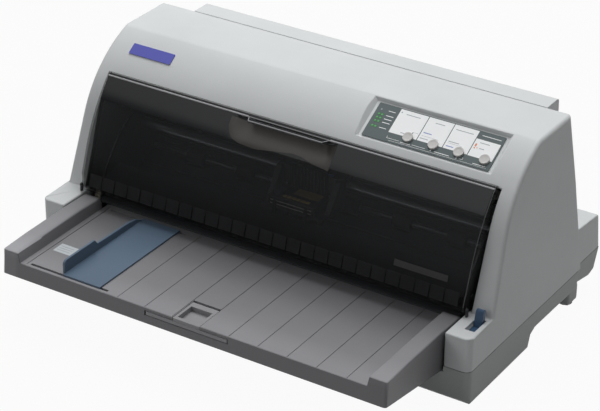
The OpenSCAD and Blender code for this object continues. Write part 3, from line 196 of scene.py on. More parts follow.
def metal(name, code, roughness, streak=(1, 1, 1), grain=0.4, depth=0.004):
    """Bare metal with fine streaks along one direction, from drawing or grinding."""
    material, tree, shader = new_material(name)
    place = add_node(tree, "TexCoord").outputs["Object"]
    turn = add_node(tree, "Mapping", {"Scale": streak}, {"Vector": place})
    lines = add_node(tree, "TexNoise", {"Scale": 1 / (grain * MM), "Detail": 3.0}, {"Vector": turn})
    rounded = add_node(tree, "Bevel", {"Radius": 0.3 * MM}, samples=4)
    relief = add_node(tree, "Bump", {"Strength": 1.0, "Distance": depth * MM}, {"Height": lines, "Normal": rounded})
    rough = add_node(tree, "MapRange", {1: 0.3, 2: 0.7, 3: roughness * 0.8, 4: roughness * 1.2}, {0: lines})
    values = {"Base Color": (*linear(code), 1), "Metallic": 1.0}
    wire(tree, shader, values, {"Roughness": rough, "Normal": relief})
    return material


def make_materials():
    """Every finish of the printer, by its name."""
    c = bpy.context.scene.printer_colours
    return {
        # ABS from a spark-eroded mould: satin, with a grain that only shows as a soft sheen
        "case_abs": moulded("light_grey_abs", c.case, 0.52, edge=0.8),
        "base_abs": moulded("grey_abs", c.base, 0.55, edge=1.0),
        # painted light and shade: paler on the rims, the left rim and the floor's front, as lit from above; darker on
        # the front face, the right side and towards the paper's way in, in the cover's shade
        "table_abs": moulded(
            "dark_grey_abs",
            c.table,
            0.5,
            edge=0.6,
            painted_fades=(
                ("Z", 62, 66, 1.0, 1.12),
                ("Y", -182.5, -182.0, 0.62, 1.0),
                ("Y", -172, -145, 1.2, 1.0),
                ("Y", -165, -70, 1.06, 0.84),
                ("Y", -108, -84, 1.0, 0.88),
                ("X", -198, -193, 1.25, 1.0),
                ("X", 210.8, 211.4, 1.0, 0.85),
            ),
        ),
        "support_abs": moulded("mid_grey_abs", "#8A8A8D", 0.5, edge=0.4),
        "guide_abs": moulded("slate_blue_abs", c.guide, 0.42, edge=0.4),
        "lever_abs": moulded("navy_abs", c.lever, 0.42, edge=0.4),
        "button_abs": moulded("silver_grey_abs", "#C9C8C6", 0.4, edge=0.4),
        "strip_abs": moulded("charcoal_abs", "#2E2D2D", 0.45, edge=0.2),
        # acrylic plate without a name: gloss over a blue back print
        "badge_acrylic": moulded("blue_acrylic", c.badge, 0.22, depth=0.001, mottle=0.01, edge=0.3, Coat_Weight=0.5),
        # polyester film, printed from behind: dark grey-green, matt
        "film": moulded("grey_green_polyester_film", c.film, 0.45, depth=0.006, mottle=0.01, edge=0.1),
        "white_ink": printed("white_screen_print", "#F1F3F4"),
        "grey_ink": printed("grey_screen_print", "#9AA1A6"),
        "blue_ink": printed("blue_screen_print", "#8C97C4"),
        # painted glow: a dark green disc round each lens
        "led_glow_green": printed("dark_green_screen_print", "#40694A"),
        "orange_ink": printed("orange_screen_print", "#DE7B45"),
        "label_ink": printed("pale_grey_label", "#B4BABD"),
        "stripe_ink": printed("deep_blue_print", "#3A74C8"),
        # hot-stamped foil on the cartridge: a dull gold
        "gold_foil": moulded("gold_foil", "#D2BC74", 0.4, depth=0.004, mottle=0.05, edge=0.1, Metallic=0.6),
        # diffused epoxy lens: its green is a painted glow, as if lit from below
        "led_lens": moulded("green_diffused_lens", "#5BA263", 0.3, depth=0.001, mottle=0.02, edge=0.1),
        # glass-filled PBT and polystyrene of the works: dull black
        "black_pbt": moulded("black_glass_filled_pbt", "#2A2B2D", 0.5, edge=0.3),
        "guide_pbt": moulded("charcoal_glass_filled_pbt", "#3A3C3E", 0.5, edge=0.3),
        "cartridge_ps": moulded("black_polystyrene", "#1B1C1E", 0.33, edge=0.3),
        "label_kraft": printed("brown_kraft_label", "#857048"),
        "ledge_ps": moulded("grey_polystyrene", "#A2A29A", 0.4, edge=0.2),
        "knob_ps": moulded("slate_polystyrene", "#2B3038", 0.35, edge=0.3),
        # natural acetal: waxy off-white
        "acetal": moulded("natural_acetal", "#DFDAC9", 0.36, edge=0.2),
        # ground nitrile rubber and moulded EPDM: matt black
        "nbr": moulded("black_nitrile_rubber", "#262627", 0.72, depth=0.03, edge=0.3),
        "epdm": moulded("black_epdm_rubber", "#1D1D1E", 0.8, depth=0.03),
        # epoxy board under solder mask: green, half gloss
        "mask": moulded("green_solder_mask", "#1F6A3F", 0.35, depth=0.006, mottle=0.05, edge=0.1),
        # the cover's upper band is opaque, with the same gloss, so nothing shows through; its colour is a painted
        # reflection, paler towards its top and right end
        "band_reflection": smoked("back_printed_polycarbonate", "#1E1F20", 0.0, 1.7),
        "comb_pbt": moulded("grey_glass_filled_pbt", "#4A4B4D", 0.5, edge=0.2),
        "smoked": smoked("smoked_polycarbonate", c.cover, 0.66),
        # painted reflection: a warm grey patch on the scoop, paler than the cover
        "scoop_reflection": moulded("warm_grey_polycarbonate", "#2E2B28", 0.35, depth=0.001, mottle=0.1, edge=0.0),
        # painted highlights: grey lines along the moulding's edges
        "edge_highlight": moulded("polished_dark_edge", "#5B5C5F", 0.3, depth=0.001, mottle=0.05, edge=0.1),
        "crest_highlight": moulded("polished_pale_edge", "#A6A6A9", 0.3, depth=0.001, mottle=0.05, edge=0.1),
        "lip_highlight": moulded("polished_grey_edge", "#97979A", 0.3, depth=0.001, mottle=0.05, edge=0.1),
        # zinc plate over pressed steel: blue-grey, dull; ground shafts are brighter
        "zinc": metal("zinc_plated_steel", "#A9ADB2", 0.42),
        # painted shade: the frames and rail of the works are dull dark grey in place of their zinc plate, dark as the
        # shaded inside of the hood
        "e_coat": moulded("e_coated_steel", "#2B2D2F", 0.5, depth=0.002, mottle=0.02, edge=0.3),
        "ground": metal("ground_steel", "#8E9093", 0.3, streak=(1, 8, 8)),
        "alloy": metal("blackened_zinc_alloy", "#3A3B3D", 0.55, grain=0.8, depth=0.02),
        "painted": moulded("black_painted_steel", "#26282A", 0.45, depth=0.01, edge=0.3),
        "brass": metal("turned_brass", "#D1A45A", 0.3, streak=(8, 1, 1)),
    }


# ---------------------------------------------------------------- modelling helpers


def mode(name):
    """Switches the active object to EDIT or OBJECT mode."""
    bpy.ops.object.mode_set(mode=name)


def deselect():
    for item in bpy.context.selected_objects:
        item.select_set(False)


def activate(piece):
    deselect()
    piece.select_set(True)
    bpy.context.view_layer.objects.active = piece


def modify(piece, kind, **settings):
    """Adds one modifier with its settings and applies it."""
    activate(piece)
    step = piece.modifiers.new(kind.lower(), kind)
    for name, value in settings.items():
        setattr(step, name, value)
    bpy.ops.object.modifier_apply(modifier=step.name)


def choose(piece, kind, test):
    """Selects, in edit mode, only the verts, edges or faces that pass the test."""
    bpy.ops.mesh.select_mode(type={"verts": "VERT", "edges": "EDGE", "faces": "FACE"}[kind])
    bpy.ops.mesh.select_all(action="DESELECT")
    shape = bmesh.from_edit_mesh(piece.data)
    found = [item for item in getattr(shape, kind) if test(item)]
    for item in found:
        item.select_set(True)
    shape.select_flush_mode()
    bmesh.update_edit_mesh(piece.data)
    if not found:
        raise RuntimeError(f"nothing to select on {piece.name}")


def bend(edge):
    """Angle in degrees between an edge's two faces: positive on an outer edge, negative in a corner."""
    return math.degrees(edge.calc_face_angle_signed(0)) if len(edge.link_faces) == 2 else 0


def rise(edge):
    """How far an edge climbs, in millimetres."""
    return abs(edge.verts[0].co.z - edge.verts[1].co.z) / MM


def middle(edge):
    """Middle of an edge in millimetres."""
    return (edge.verts[0].co + edge.verts[1].co) / (2 * MM)


def merged_copy(node, name):
    """A copy of a CAD node for shaping: its loose triangles merged and its flat faces joined."""
    deselect()
    piece = bpy.data.objects.new(name, NODES[node].data.copy())
    bpy.context.scene.collection.objects.link(piece)
    activate(piece)
    mode("EDIT")
    bpy.ops.mesh.select_all(action="SELECT")
    bpy.ops.mesh.remove_doubles(threshold=0.002 * MM)
    bpy.ops.mesh.customdata_custom_splitnormals_clear()
    bpy.ops.mesh.dissolve_limited(angle_limit=math.radians(0.3))
    mode("OBJECT")
    return piece


def round_edges(piece, rules, segments=4, sharp=15):
    """Bevel modifier, applied: each sharp edge gets the radius, in metres, of the first rule that it passes."""
    largest = max(radius for test, radius in rules)
    activate(piece)
    mode("EDIT")
    shape = bmesh.from_edit_mesh(piece.data)
    weight = shape.edges.layers.float.new("bevel_weight_edge")
    for edge in shape.edges:
        if abs(bend(edge)) > sharp:
            edge[weight] = next((radius / largest for test, radius in rules if test(edge, middle(edge))), 0)
    bmesh.update_edit_mesh(piece.data)
    mode("OBJECT")
    modify(piece, "BEVEL", width=largest, segments=segments, limit_method="WEIGHT", use_clamp_overlap=False)


def soften(piece, width, angle=35, segments=2):
    """Bevel modifier on every sharp edge, applied."""
    modify(piece, "BEVEL", width=width, segments=segments, limit_method="ANGLE", angle_limit=math.radians(angle))


def mount(piece, body, slot, finish, *nodes):
    """Finishes a piece: smooth shading, material, body and the CAD nodes that it stands for; the slot is not used."""
    activate(piece)
    bpy.ops.object.shade_smooth_by_angle(angle=math.radians(35))
    modify(piece, "WEIGHTED_NORMAL", keep_sharp=True)
    piece.data.materials.clear()
    piece.data.materials.append(FINISHES[finish])
    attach(piece, body)
    if nodes:
        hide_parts(*nodes)
    return piece


def rounded(node, name, body, slot, finish, rules, segments=4):
    """A CAD node copied, its edges rounded by the rules, and mounted in the node's place."""
    piece = merged_copy(node, name)
    round_edges(piece, rules, segments)
    return mount(piece, body, slot, finish, node)


def settle(piece):
    """Moves the piece's place into its mesh."""
    activate(piece)
    bpy.ops.object.transform_apply(location=True, rotation=True, scale=True)


def plate(name, x, y, z, turn=None, corner=0.0, edge=0.0):
    """A cube shaped to a plate between these millimetre bounds, its upright corners and rims rounded, then turned."""
    deselect()
    bpy.ops.mesh.primitive_cube_add(size=1, location=[sum(span) / 2 * MM for span in (x, y, z)])
    piece = bpy.context.object
    piece.name = name
    piece.scale = [(span[1] - span[0]) * MM for span in (x, y, z)]
    settle(piece)
    if corner:
        round_edges(piece, [(lambda e, m: rise(e) > 0.5 * (z[1] - z[0]), corner * MM)])
    if edge:
        soften(piece, edge * MM, 60)
    if turn is not None:
        piece.data.transform(turn)
    return piece


def rod(name, start, end, radius, sides=48, edge=0.0):
    """A cylinder between two points in millimetres, its rims rounded."""
    deselect()
    start, end = Vector(start), Vector(end)
    bpy.ops.mesh.primitive_cylinder_add(
        vertices=sides,
        radius=radius * MM,
        depth=(end - start).length * MM,
        location=(start + end) / 2 * MM,
        rotation=(end - start).to_track_quat("Z", "Y").to_euler(),
    )
    piece = bpy.context.object
    piece.name = name
    settle(piece)
    if edge:
        soften(piece, edge * MM, 60)
    return piece


def joined(pieces, name):
    """Joins pieces into one object."""
    deselect()
    for piece in pieces:
        piece.select_set(True)
    bpy.context.view_layer.objects.active = pieces[0]
    bpy.ops.object.join()
    pieces[0].name = name
    return pieces[0]


def row(piece, offsets, name):
    """The piece copied, with its own mesh, to each offset in millimetres, all joined."""
    copies = []
    for offset in offsets:
        activate(piece)
        bpy.ops.object.duplicate(linked=False)
        copy = bpy.context.object
        copy.location = Vector(offset) * MM
        settle(copy)
        copies.append(copy)
    bpy.data.objects.remove(piece)
    return joined(copies, name)


def combine(piece, other, operation):
    """Joins the other solid to the piece, or cuts it out of it, and removes the other."""
    modify(piece, "BOOLEAN", operation=operation, solver="EXACT", object=other)
    bpy.data.objects.remove(other)


def surface(name, columns, rows, place):
    """A grid whose points lie at place(column, row), in metres."""
    deselect()
    bpy.ops.mesh.primitive_grid_add(x_subdivisions=len(columns) - 1, y_subdivisions=len(rows) - 1, size=1)
    piece = bpy.context.object
    piece.name = name
    for vert in piece.data.vertices:
        column = columns[round((vert.co.x + 0.5) * (len(columns) - 1))]
        vert.co = place(column, rows[round((vert.co.y + 0.5) * (len(rows) - 1))])
    return piece


def stations(start, end, step):
    """Evenly spaced values from start to end, no further apart than step."""
    count = max(1, math.ceil((end - start) / step))
    return [start + (end - start) * i / count for i in range(count + 1)]


def ramp(start, end, value):
    """0 before start, 1 after end, and a smooth step between them."""
    t = min(max((value - start) / (end - start), 0), 1)
    return t * t * (3 - 2 * t)


# ---------------------------------------------------------------- places on the printer, in millimetres

BROW_CENTRE = (86.433, 102.178)
BROW_R = 114.38
PANEL_SLOPE = math.radians(33.5)
PANEL_R = BROW_R - 1.5
PANEL_FLOOR = -0.8
PANEL_X = (60.0, 202.0)
PANEL_HALF = 19.6
FILM_TOP = -0.2
FILM_BED = 0.5
# prints on a printed field stand this much higher than the field
PRINT_LIFT = 0.02
BUTTON_X = (110.9, 137.6, 164.3, 191.0)
BUTTON_V = -8.3
BUTTON_HOLE_R = 5.3
LED_X = (71.0, 74.4)
LED_V = (6.8, 3.0, -0.8, -6.5)
PANEL_PLACE = Vector(
    (0, BROW_CENTRE[0] - PANEL_R * math.sin(PANEL_SLOPE), BROW_CENTRE[1] + PANEL_R * math.cos(PANEL_SLOPE))
)
PANEL = Matrix.Translation(PANEL_PLACE * MM) @ Matrix.Rotation(PANEL_SLOPE, 4, "X")
# the film lies on a floor that sinks towards its upper edge; prints keep their place as seen from the front
FLOOR_SINK = 0.0714
PANEL_FACE = PANEL @ Matrix(
    (
        (1, 0, 0, 0),
        (0, 1.05, 0, 0.98 * MM),
        (0, -FLOOR_SINK * 1.05, 1, -FLOOR_SINK * (0.98 + PANEL_HALF) * MM),
        (0, 0, 0, 1),
    )
)
SHOULDER_Z = 70.4
JOINT_Z = 35.0
HOOD_Y = -45.5
OPENING_X = 218.2

COVER_PIVOT = (-52.8, 77.0)
COVER_SLOPE = math.radians(71)
COVER_EDGE = 4.0
COVER_RUN = 35.0
COVER_ARC = (134.461, 49.537)
COVER_R = 190.0
COVER_TOP = 117.9
COVER_X = 215.7
# the cover's left side: how wide a strip is spread, and by how much
COVER_INNER = 3.0
COVER_GAP = 1.9
# lower edge of the scoop's painted reflection, in places across and up the cover
SCOOP_LOW = ((-70, 108), (-65, 95), (-60, 89), (-50, 86), (-32, 85), (-10, 88.5), (8, 91.5), (19, 91),
             (30, 87.5), (51, 85))
SCOOP_TOP = 109.5
BAND_LOW = 88
# how far the cover's walls reach back, by the height up its face
COVER_WALLS = ((-18.1, 0.5), (-7.61, 4.0), (-0.01, 4.0), (0, 15.0), (35, 15.0), (50, 14.5), (60, 13.5), (70, 12.0),
               (80, 10.3), (90, 8.9), (100, 7.8), (110, 7.0), (117.9, 6.6))

FRONT_FEED = (-21.0, 53.96)
REAR_FEED = (53.0, 62.391)
FRONT_PINCH = (-21.0, 71.26)
REAR_PINCH = (53.0, 79.691)
ROLLER_X = (-150, -90, -30, 30, 90, 150)
GEAR_X = (-214.05, -207.95)

REAR_Y = 134.0
HOUSING_X = 235.0
TABLE_WALL_X = 193.5
TABLE_NOSE_Y = -182.5
LIP_Z = 178.1
CARTRIDGE_TOP = 104.9


def case_side(z):
    """Half the case's width at a height: the sides lean in above the shoulders."""
    return 240 - max(z - SHOULDER_Z, 0) * 8 / 139.6


def cover_wall(s):
    """How far the cover's walls reach back at a height up its face."""
    for (s0, d0), (s1, d1) in zip(COVER_WALLS, COVER_WALLS[1:]):
        if s <= s1:
            return d0 + (d1 - d0) * (s - s0) / (s1 - s0)
    return COVER_WALLS[-1][1]


def cover_place(x, s, w=0.0):
    """A point of the front cover in metres: x across, s mm up its outer face from the hinge, w mm outwards."""
    if s < 0:
        turn = min(-s / COVER_EDGE, math.pi - COVER_SLOPE)
        reach = -s - turn * COVER_EDGE
        slope, centre, radius = COVER_SLOPE + turn, (COVER_PIVOT[0] + reach, COVER_PIVOT[1]), COVER_EDGE
    elif s <= COVER_RUN:
        slope, radius = COVER_SLOPE, COVER_EDGE
        centre = (COVER_PIVOT[0] + s * math.cos(slope), COVER_PIVOT[1] + s * math.sin(slope))
    else:
        slope, centre, radius = COVER_SLOPE - (s - COVER_RUN) / COVER_R, COVER_ARC, COVER_R
    reach = radius + w
    return Vector((x, centre[0] - reach * math.sin(slope), centre[1] + reach * math.cos(slope))) * MM


def spread(x, s):
    """Sideways shift in millimetres that closes the gap on the cover's left side, above its hinge."""
    return -COVER_GAP * ramp(6, 12, s) if x < COVER_INNER - COVER_X else 0


def scoop(x, s):
    """Share of the finger scoop's depth at a place on the cover: deepest just under the lip."""
    across = ramp(-63, -50, x) * (1 - ramp(38, 51, x))
    return across * ramp(88, 107, s) * (1 - ramp(110.5, 113.5, s))


# ---------------------------------------------------------------- pieces


class PieceOperator:
    """Base of the operators that make pieces."""

    bl_options = {"REGISTER", "UNDO"}


def drill_buttons(piece, low):
    """Cuts the four buttons' holes out of the piece, from this depth below the panel's face."""
    for x in BUTTON_X:
        hole = rod("hole", (x, BUTTON_V, low), (x, BUTTON_V, 4), BUTTON_HOLE_R)
        hole.data.transform(PANEL)
        combine(piece, hole, "DIFFERENCE")


def sink_recess(upper, flare):
    """Cuts the panel's recess with sloped walls, the left one crescent-shaped, and lays its sinking floor."""
    deselect()
    bpy.ops.mesh.primitive_cube_add(size=2)
    cutter = bpy.context.object
    for vert in cutter.data.vertices:
        lift = 6.0 if vert.co.z > 0 else 0.0
        x = PANEL_X[1] + 0.9 * lift if vert.co.x > 0 else PANEL_X[0] + 2.6 - flare * lift
        v = 20.2 + 0.7 * lift if vert.co.y > 0 else -PANEL_HALF - 1.0 * lift
        vert.co = Vector((x, v, PANEL_FLOOR + (lift or -FILM_BED))) * MM
    cutter.data.transform(PANEL_FACE)
    # a slab just under the skin closes the old pocket and backs the new walls
    backing = plate("backing", (PANEL_X[0] - 14, PANEL_X[1] + 8), (-26, 26), (-6.6, 2), PANEL)
    skin = rod("skin", (40, *BROW_CENTRE), (220, *BROW_CENTRE), BROW_R - 0.06, 720)
    combine(backing, skin, "INTERSECT")
    combine(upper, backing, "UNION")
    combine(upper, cutter, "DIFFERENCE")
    drill_buttons(upper, -8)


class PRINTER_OT_case(PieceOperator, bpy.types.Operator):
    """Rounds the mouldings of the upper case, lower case, rear cover and badge"""

    bl_idname = "printer.case"
    bl_label = "Case"

    def execute(self, context):
        sizes = context.scene.printer_sizes

        def on_hood(m):
            return math.hypot(m.y - BROW_CENTRE[0], m.z - BROW_CENTRE[1]) > BROW_R - 0.4 or m.y < -21

        def at_recess(m):
            x, v, w = (PANEL.inverted() @ (m * MM)) / MM
            return 36 < x < 212 and abs(v) < 27 and -1.7 < w < 3

        upper = merged_copy("upper_case", "case_upper")
        sink_recess(upper, sizes.recess_flare)
        # open joint between the two cases
        mode("EDIT")
        choose(upper, "verts", lambda v: abs(v.co.z - JOINT_Z * MM) < 0.05 * MM)
        bpy.ops.transform.translate(value=(0, 0, sizes.joint))
        mode("OBJECT")
        round_edges(
            upper,
            [
                # hood's sides, and the corner in front of its foot on each shoulder
                (lambda e, m: abs(abs(m.x) - case_side(m.z)) < 0.3 and m.z > SHOULDER_Z + 0.3 and bend(e) > 45
                 and m.y < REAR_Y, sizes.hood_edge),
                (lambda e, m: bend(e) < -45 and abs(m.y - HOOD_Y) < 0.1 and abs(m.z - SHOULDER_Z) < 0.1,
                 sizes.shoulder_edge),
                # shoulders
                (lambda e, m: abs(m.z - SHOULDER_Z) < 0.1 and bend(e) > 45 and m.y < HOOD_Y
                 and (abs(m.x) > 236 or m.y < -79 or abs(m.x) < 214), sizes.shoulder_edge),
                # opening of the front cover
                (lambda e, m: abs(abs(m.x) - OPENING_X) < 0.1 and bend(e) > 45 and on_hood(m) and m.z > 75,
                 sizes.rim_edge),
                (lambda e, m: abs(m.x) < OPENING_X and bend(e) > 45 and abs(m.z - 177.2) < 0.4, sizes.rim_edge),
                # panel recess
                (lambda e, m: bend(e) > 0 and at_recess(m), 0.0007),
                # rear housing
                (lambda e, m: abs(abs(m.x) - HOUSING_X) < 0.1 and bend(e) > 45 and m.y > REAR_Y and m.z > 36, 0.0015),
            ],
        )
        mount(upper, "case", "case_plastic", "case_abs", "upper_case")

        foot_rules = [
            (lambda e, m: bend(e) > 45 and m.z < 12 and 221 < abs(m.x) < 239 and m.y > 110, 0.003),
            (lambda e, m: bend(e) > 45 and abs(m.x) > 239.9 and m.z < 30, 0.0018),
        ]
        rounded("lower_case", "case_lower", "case", "base_plastic", "base_abs", foot_rules)

        outer = lambda e, m: bend(e) > 30 and (m.z > 209.5 or m.y > REAR_Y - 0.1 or m.x < -191.9 or m.x > 205.9)
        rounded("rear_cover", "cover_rear", "rear_cover", "case_plastic", "case_abs", [(outer, sizes.small_edge)])

        badge = merged_copy("badge_plate", "badge_face")
        soften(badge, 0.25 * MM, 60)
        mount(badge, "case", "badge_plastic", "badge_acrylic", "badge_plate")
        return {"FINISHED"}


class PRINTER_OT_front_cover(PieceOperator, bpy.types.Operator):
    """Shapes the smoked front cover with its finger scoop and lip"""

    bl_idname = "printer.front_cover"
    bl_label = "Front cover"

    def execute(self, context):
        depth = context.scene.printer_sizes.scoop / MM
        # across and up hold places on the face, each with how far it falls back there: rounded, then all the way
        corner, rim, deep = 2.4, 1.6, -99
        turns = [math.radians(a) for a in (0, 22.5, 45, 67.5, 90)]
        side = [(COVER_X, deep)]
        side += [(COVER_X - corner * (1 - math.cos(a)), -corner * (1 - math.sin(a))) for a in turns]
        across = [(-x, w) for x, w in side]
        across += [(x, 0) for x in stations(-COVER_X + corner, -66, 10)[1:-1]]
        across += [(x, 0) for x in stations(-66, 56, 1.6)]
        across += [(x, 0) for x in stations(56, COVER_X - corner, 10)[1:-1]]
        across += side[::-1]
        up = [(s, 0) for s in stations(COVER_WALLS[0][0], -7.61, 11) + stations(-7.61, 0, 1.1)[1:]]
        up += [(s, 0) for s in stations(0, 84, 6)[1:-1] + stations(84, COVER_TOP - rim, 1.3)]
        up += [(COVER_TOP - rim * (1 - math.cos(a)), -rim * (1 - math.sin(a))) for a in turns[::-1][1:]]
        up += [(COVER_TOP, deep)]

        def on_shell(column, row):
            (x, wall), (s, top) = column, row
            w = max(min(wall, top), -cover_wall(s))
            if not wall and not top:
                w -= depth * scoop(x, s)
            return cover_place(x + spread(x, s), s, w)

        cover = surface("cover_shell", across, up, on_shell)
        mode("EDIT")
        bpy.ops.mesh.select_all(action="SELECT")
        bpy.ops.mesh.remove_doubles(threshold=0.01 * MM)
        mode("OBJECT")
        modify(cover, "SOLIDIFY", thickness=2.1 * MM)

        # lip: a tongue that is wider at its root, with a slot in its upper side
        lip = plate("lip", (-50, 41), (-12.8, -3), (175.8, 178.4))
        mode("EDIT")
        choose(lip, "verts", lambda v: v.co.y < -5 * MM)
        bpy.ops.transform.resize(value=(0.93, 1, 1))
        choose(lip, "faces", lambda f: f.normal.z > 0.9)
        bpy.ops.mesh.inset(thickness=2.6 * MM)
        bpy.ops.transform.resize(value=(0.86, 0.5, 1))
        bpy.ops.mesh.extrude_region_move(TRANSFORM_OT_translate={"value": (0, 0, -1.4 * MM)})
        mode("OBJECT")
        soften(lip, 0.4 * MM, 50)
        cover = joined([cover, lip], "cover_shell")
        mount(cover, "front_cover", "smoked_plastic", "smoked", "front_cover")

        # comb of flat teeth behind the cover's lower edge
        face = Matrix.Translation((0, COVER_PIVOT[0] * MM, COVER_PIVOT[1] * MM)) @ Matrix.Rotation(COVER_SLOPE, 4, "X")
        tooth = plate("tooth", (-7.1, 7.1), (1, 14), (0.7, 1.7), corner=0.8, edge=0.2)
        comb = row(tooth, [(15.4 * i, 0, 0) for i in range(-13, 14)], "cover_comb")
        comb.data.transform(face)
        mount(comb, "front_cover", "black_plastic", "comb_pbt", "cover_guide_strip")

        # painted highlights, as grey rods on the moulding's edges: along the right side, along the top, and round the
        # lip
        side = [cover_place(COVER_X - 1.2, s, 0.05) / MM for s in stations(2, COVER_TOP - 1.4, 6)]
        lines = [rod("line", a, b, 0.35, 8) for a, b in zip(side, side[1:])]
        mount(joined(lines, "cover_edges"), "front_cover", "smoked_plastic", "edge_highlight")
        crest = [cover_place(x, COVER_TOP - 4.4, -0.45) / MM for x in (-COVER_X + 1, -50, 41, COVER_X - 1.5)]
        lines = [rod("line", a, b, radius, 24) for a, b, radius in zip(crest, crest[1:], (0.9, 0.55, 0.9))]
        mount(joined(lines, "cover_crest"), "front_cover", "smoked_plastic", "crest_highlight")
        left, right = (-45.5, -12.7, LIP_Z), (36.5, -12.7, LIP_Z)
        rims = ((left, right, 0.55), (left, (-49.4, -5, LIP_Z), 0.45), (right, (40.6, -5, LIP_Z), 0.45))
        lines = [rod("line", a, b, radius, 12) for a, b, radius in rims]
        mount(joined(lines, "cover_lip_edge"), "front_cover", "smoked_plastic", "lip_highlight")

        # opaque band along the cover's upper edge, coloured with a painted reflection
        band = surface(
            "cover_band",
            stations(-COVER_X + 1.4, COVER_X - 2.2, 3.2),
            stations(BAND_LOW, COVER_TOP - 1.7, 1.2),
            lambda x, s: cover_place(x, s, 0.03 - depth * scoop(x, s)),
        )
        modify(band, "SOLIDIFY", thickness=2.45 * MM)
        mount(band, "front_cover", "smoked_plastic", "band_reflection")

        # painted reflection on the scoop's floor: a thin skin of warmer grey that follows the cover
        def on_scoop(x, share):
            low = next(b + (c - b) * (x - a) / (d - a) for (a, b), (d, c) in zip(SCOOP_LOW, SCOOP_LOW[1:]) if x <= d)
            s = low + (SCOOP_TOP - low) * share
            return cover_place(x, s, 0.12 - depth * scoop(x, s))

        skin = surface("cover_scoop", stations(-67, 50, 3), [i / 12 for i in range(13)], on_scoop)
        modify(skin, "SOLIDIFY", thickness=0.05 * MM)
        mount(skin, "front_cover", "smoked_plastic", "scoop_reflection")

        # small dark brackets of the hinge, between the cover's ends and the hood
        for side, x in (("left", -216.0), ("right", 216.0)):
            out = math.copysign(2.0, x)
            eye = rod("eye", (x, *COVER_PIVOT), (x + out, *COVER_PIVOT), 1.9, 32, 0.4)
            reach = (COVER_PIVOT[0] - 1.6, COVER_PIVOT[0] + 1.6)
            post = plate("post", sorted((x, x + out)), reach, (70.2, COVER_PIVOT[1]), edge=0.3)
            bracket = joined([eye, post], f"cover_bracket_{side}")
            mount(bracket, "case", "black_plastic", "black_pbt", "cover_hinge_pins")
            span = sorted((math.copysign(218.8, x), math.copysign(221.6, x)))
            plug = plate(f"shoulder_plug_{side}", span, (-56.0, -49.6), (68, 70.38))
            mount(plug, "case", "case_plastic", "case_abs")
        return {"FINISHED"}


def print_field(x, v, lift=0.0):
    """A patch of print on the panel's film: x and v bounds in millimetres."""
    return plate("print", x, v, (FILM_TOP - 0.02, FILM_TOP + 0.04 + lift), PANEL_FACE)


def print_bars(half, spots, lift=PRINT_LIFT):
    """Short printed bars, each from one x to the other at its v, half a width to either side."""
    return [print_field((x0, x1), (v - half, v + half), lift) for x0, x1, v in spots]


def print_line(points, width=0.35):
    """A thin printed line through these panel points, made of straight bars."""
    half = width / 2
    return [
        print_field((min(a[0], b[0]) - half, max(a[0], b[0]) + half),
                    (min(a[1], b[1]) - half, max(a[1], b[1]) + half), PRINT_LIFT)
        for a, b in zip(points, points[1:])
    ]


def print_triangle(x, v, size):
    """A small printed triangle that points up the panel."""
    deselect()
    place = (x * MM, v * MM, FILM_TOP * MM)
    bpy.ops.mesh.primitive_cylinder_add(vertices=3, radius=size * MM, depth=0.08 * MM, location=place)
    piece = bpy.context.object
    settle(piece)
    piece.data.transform(PANEL_FACE)
    return piece


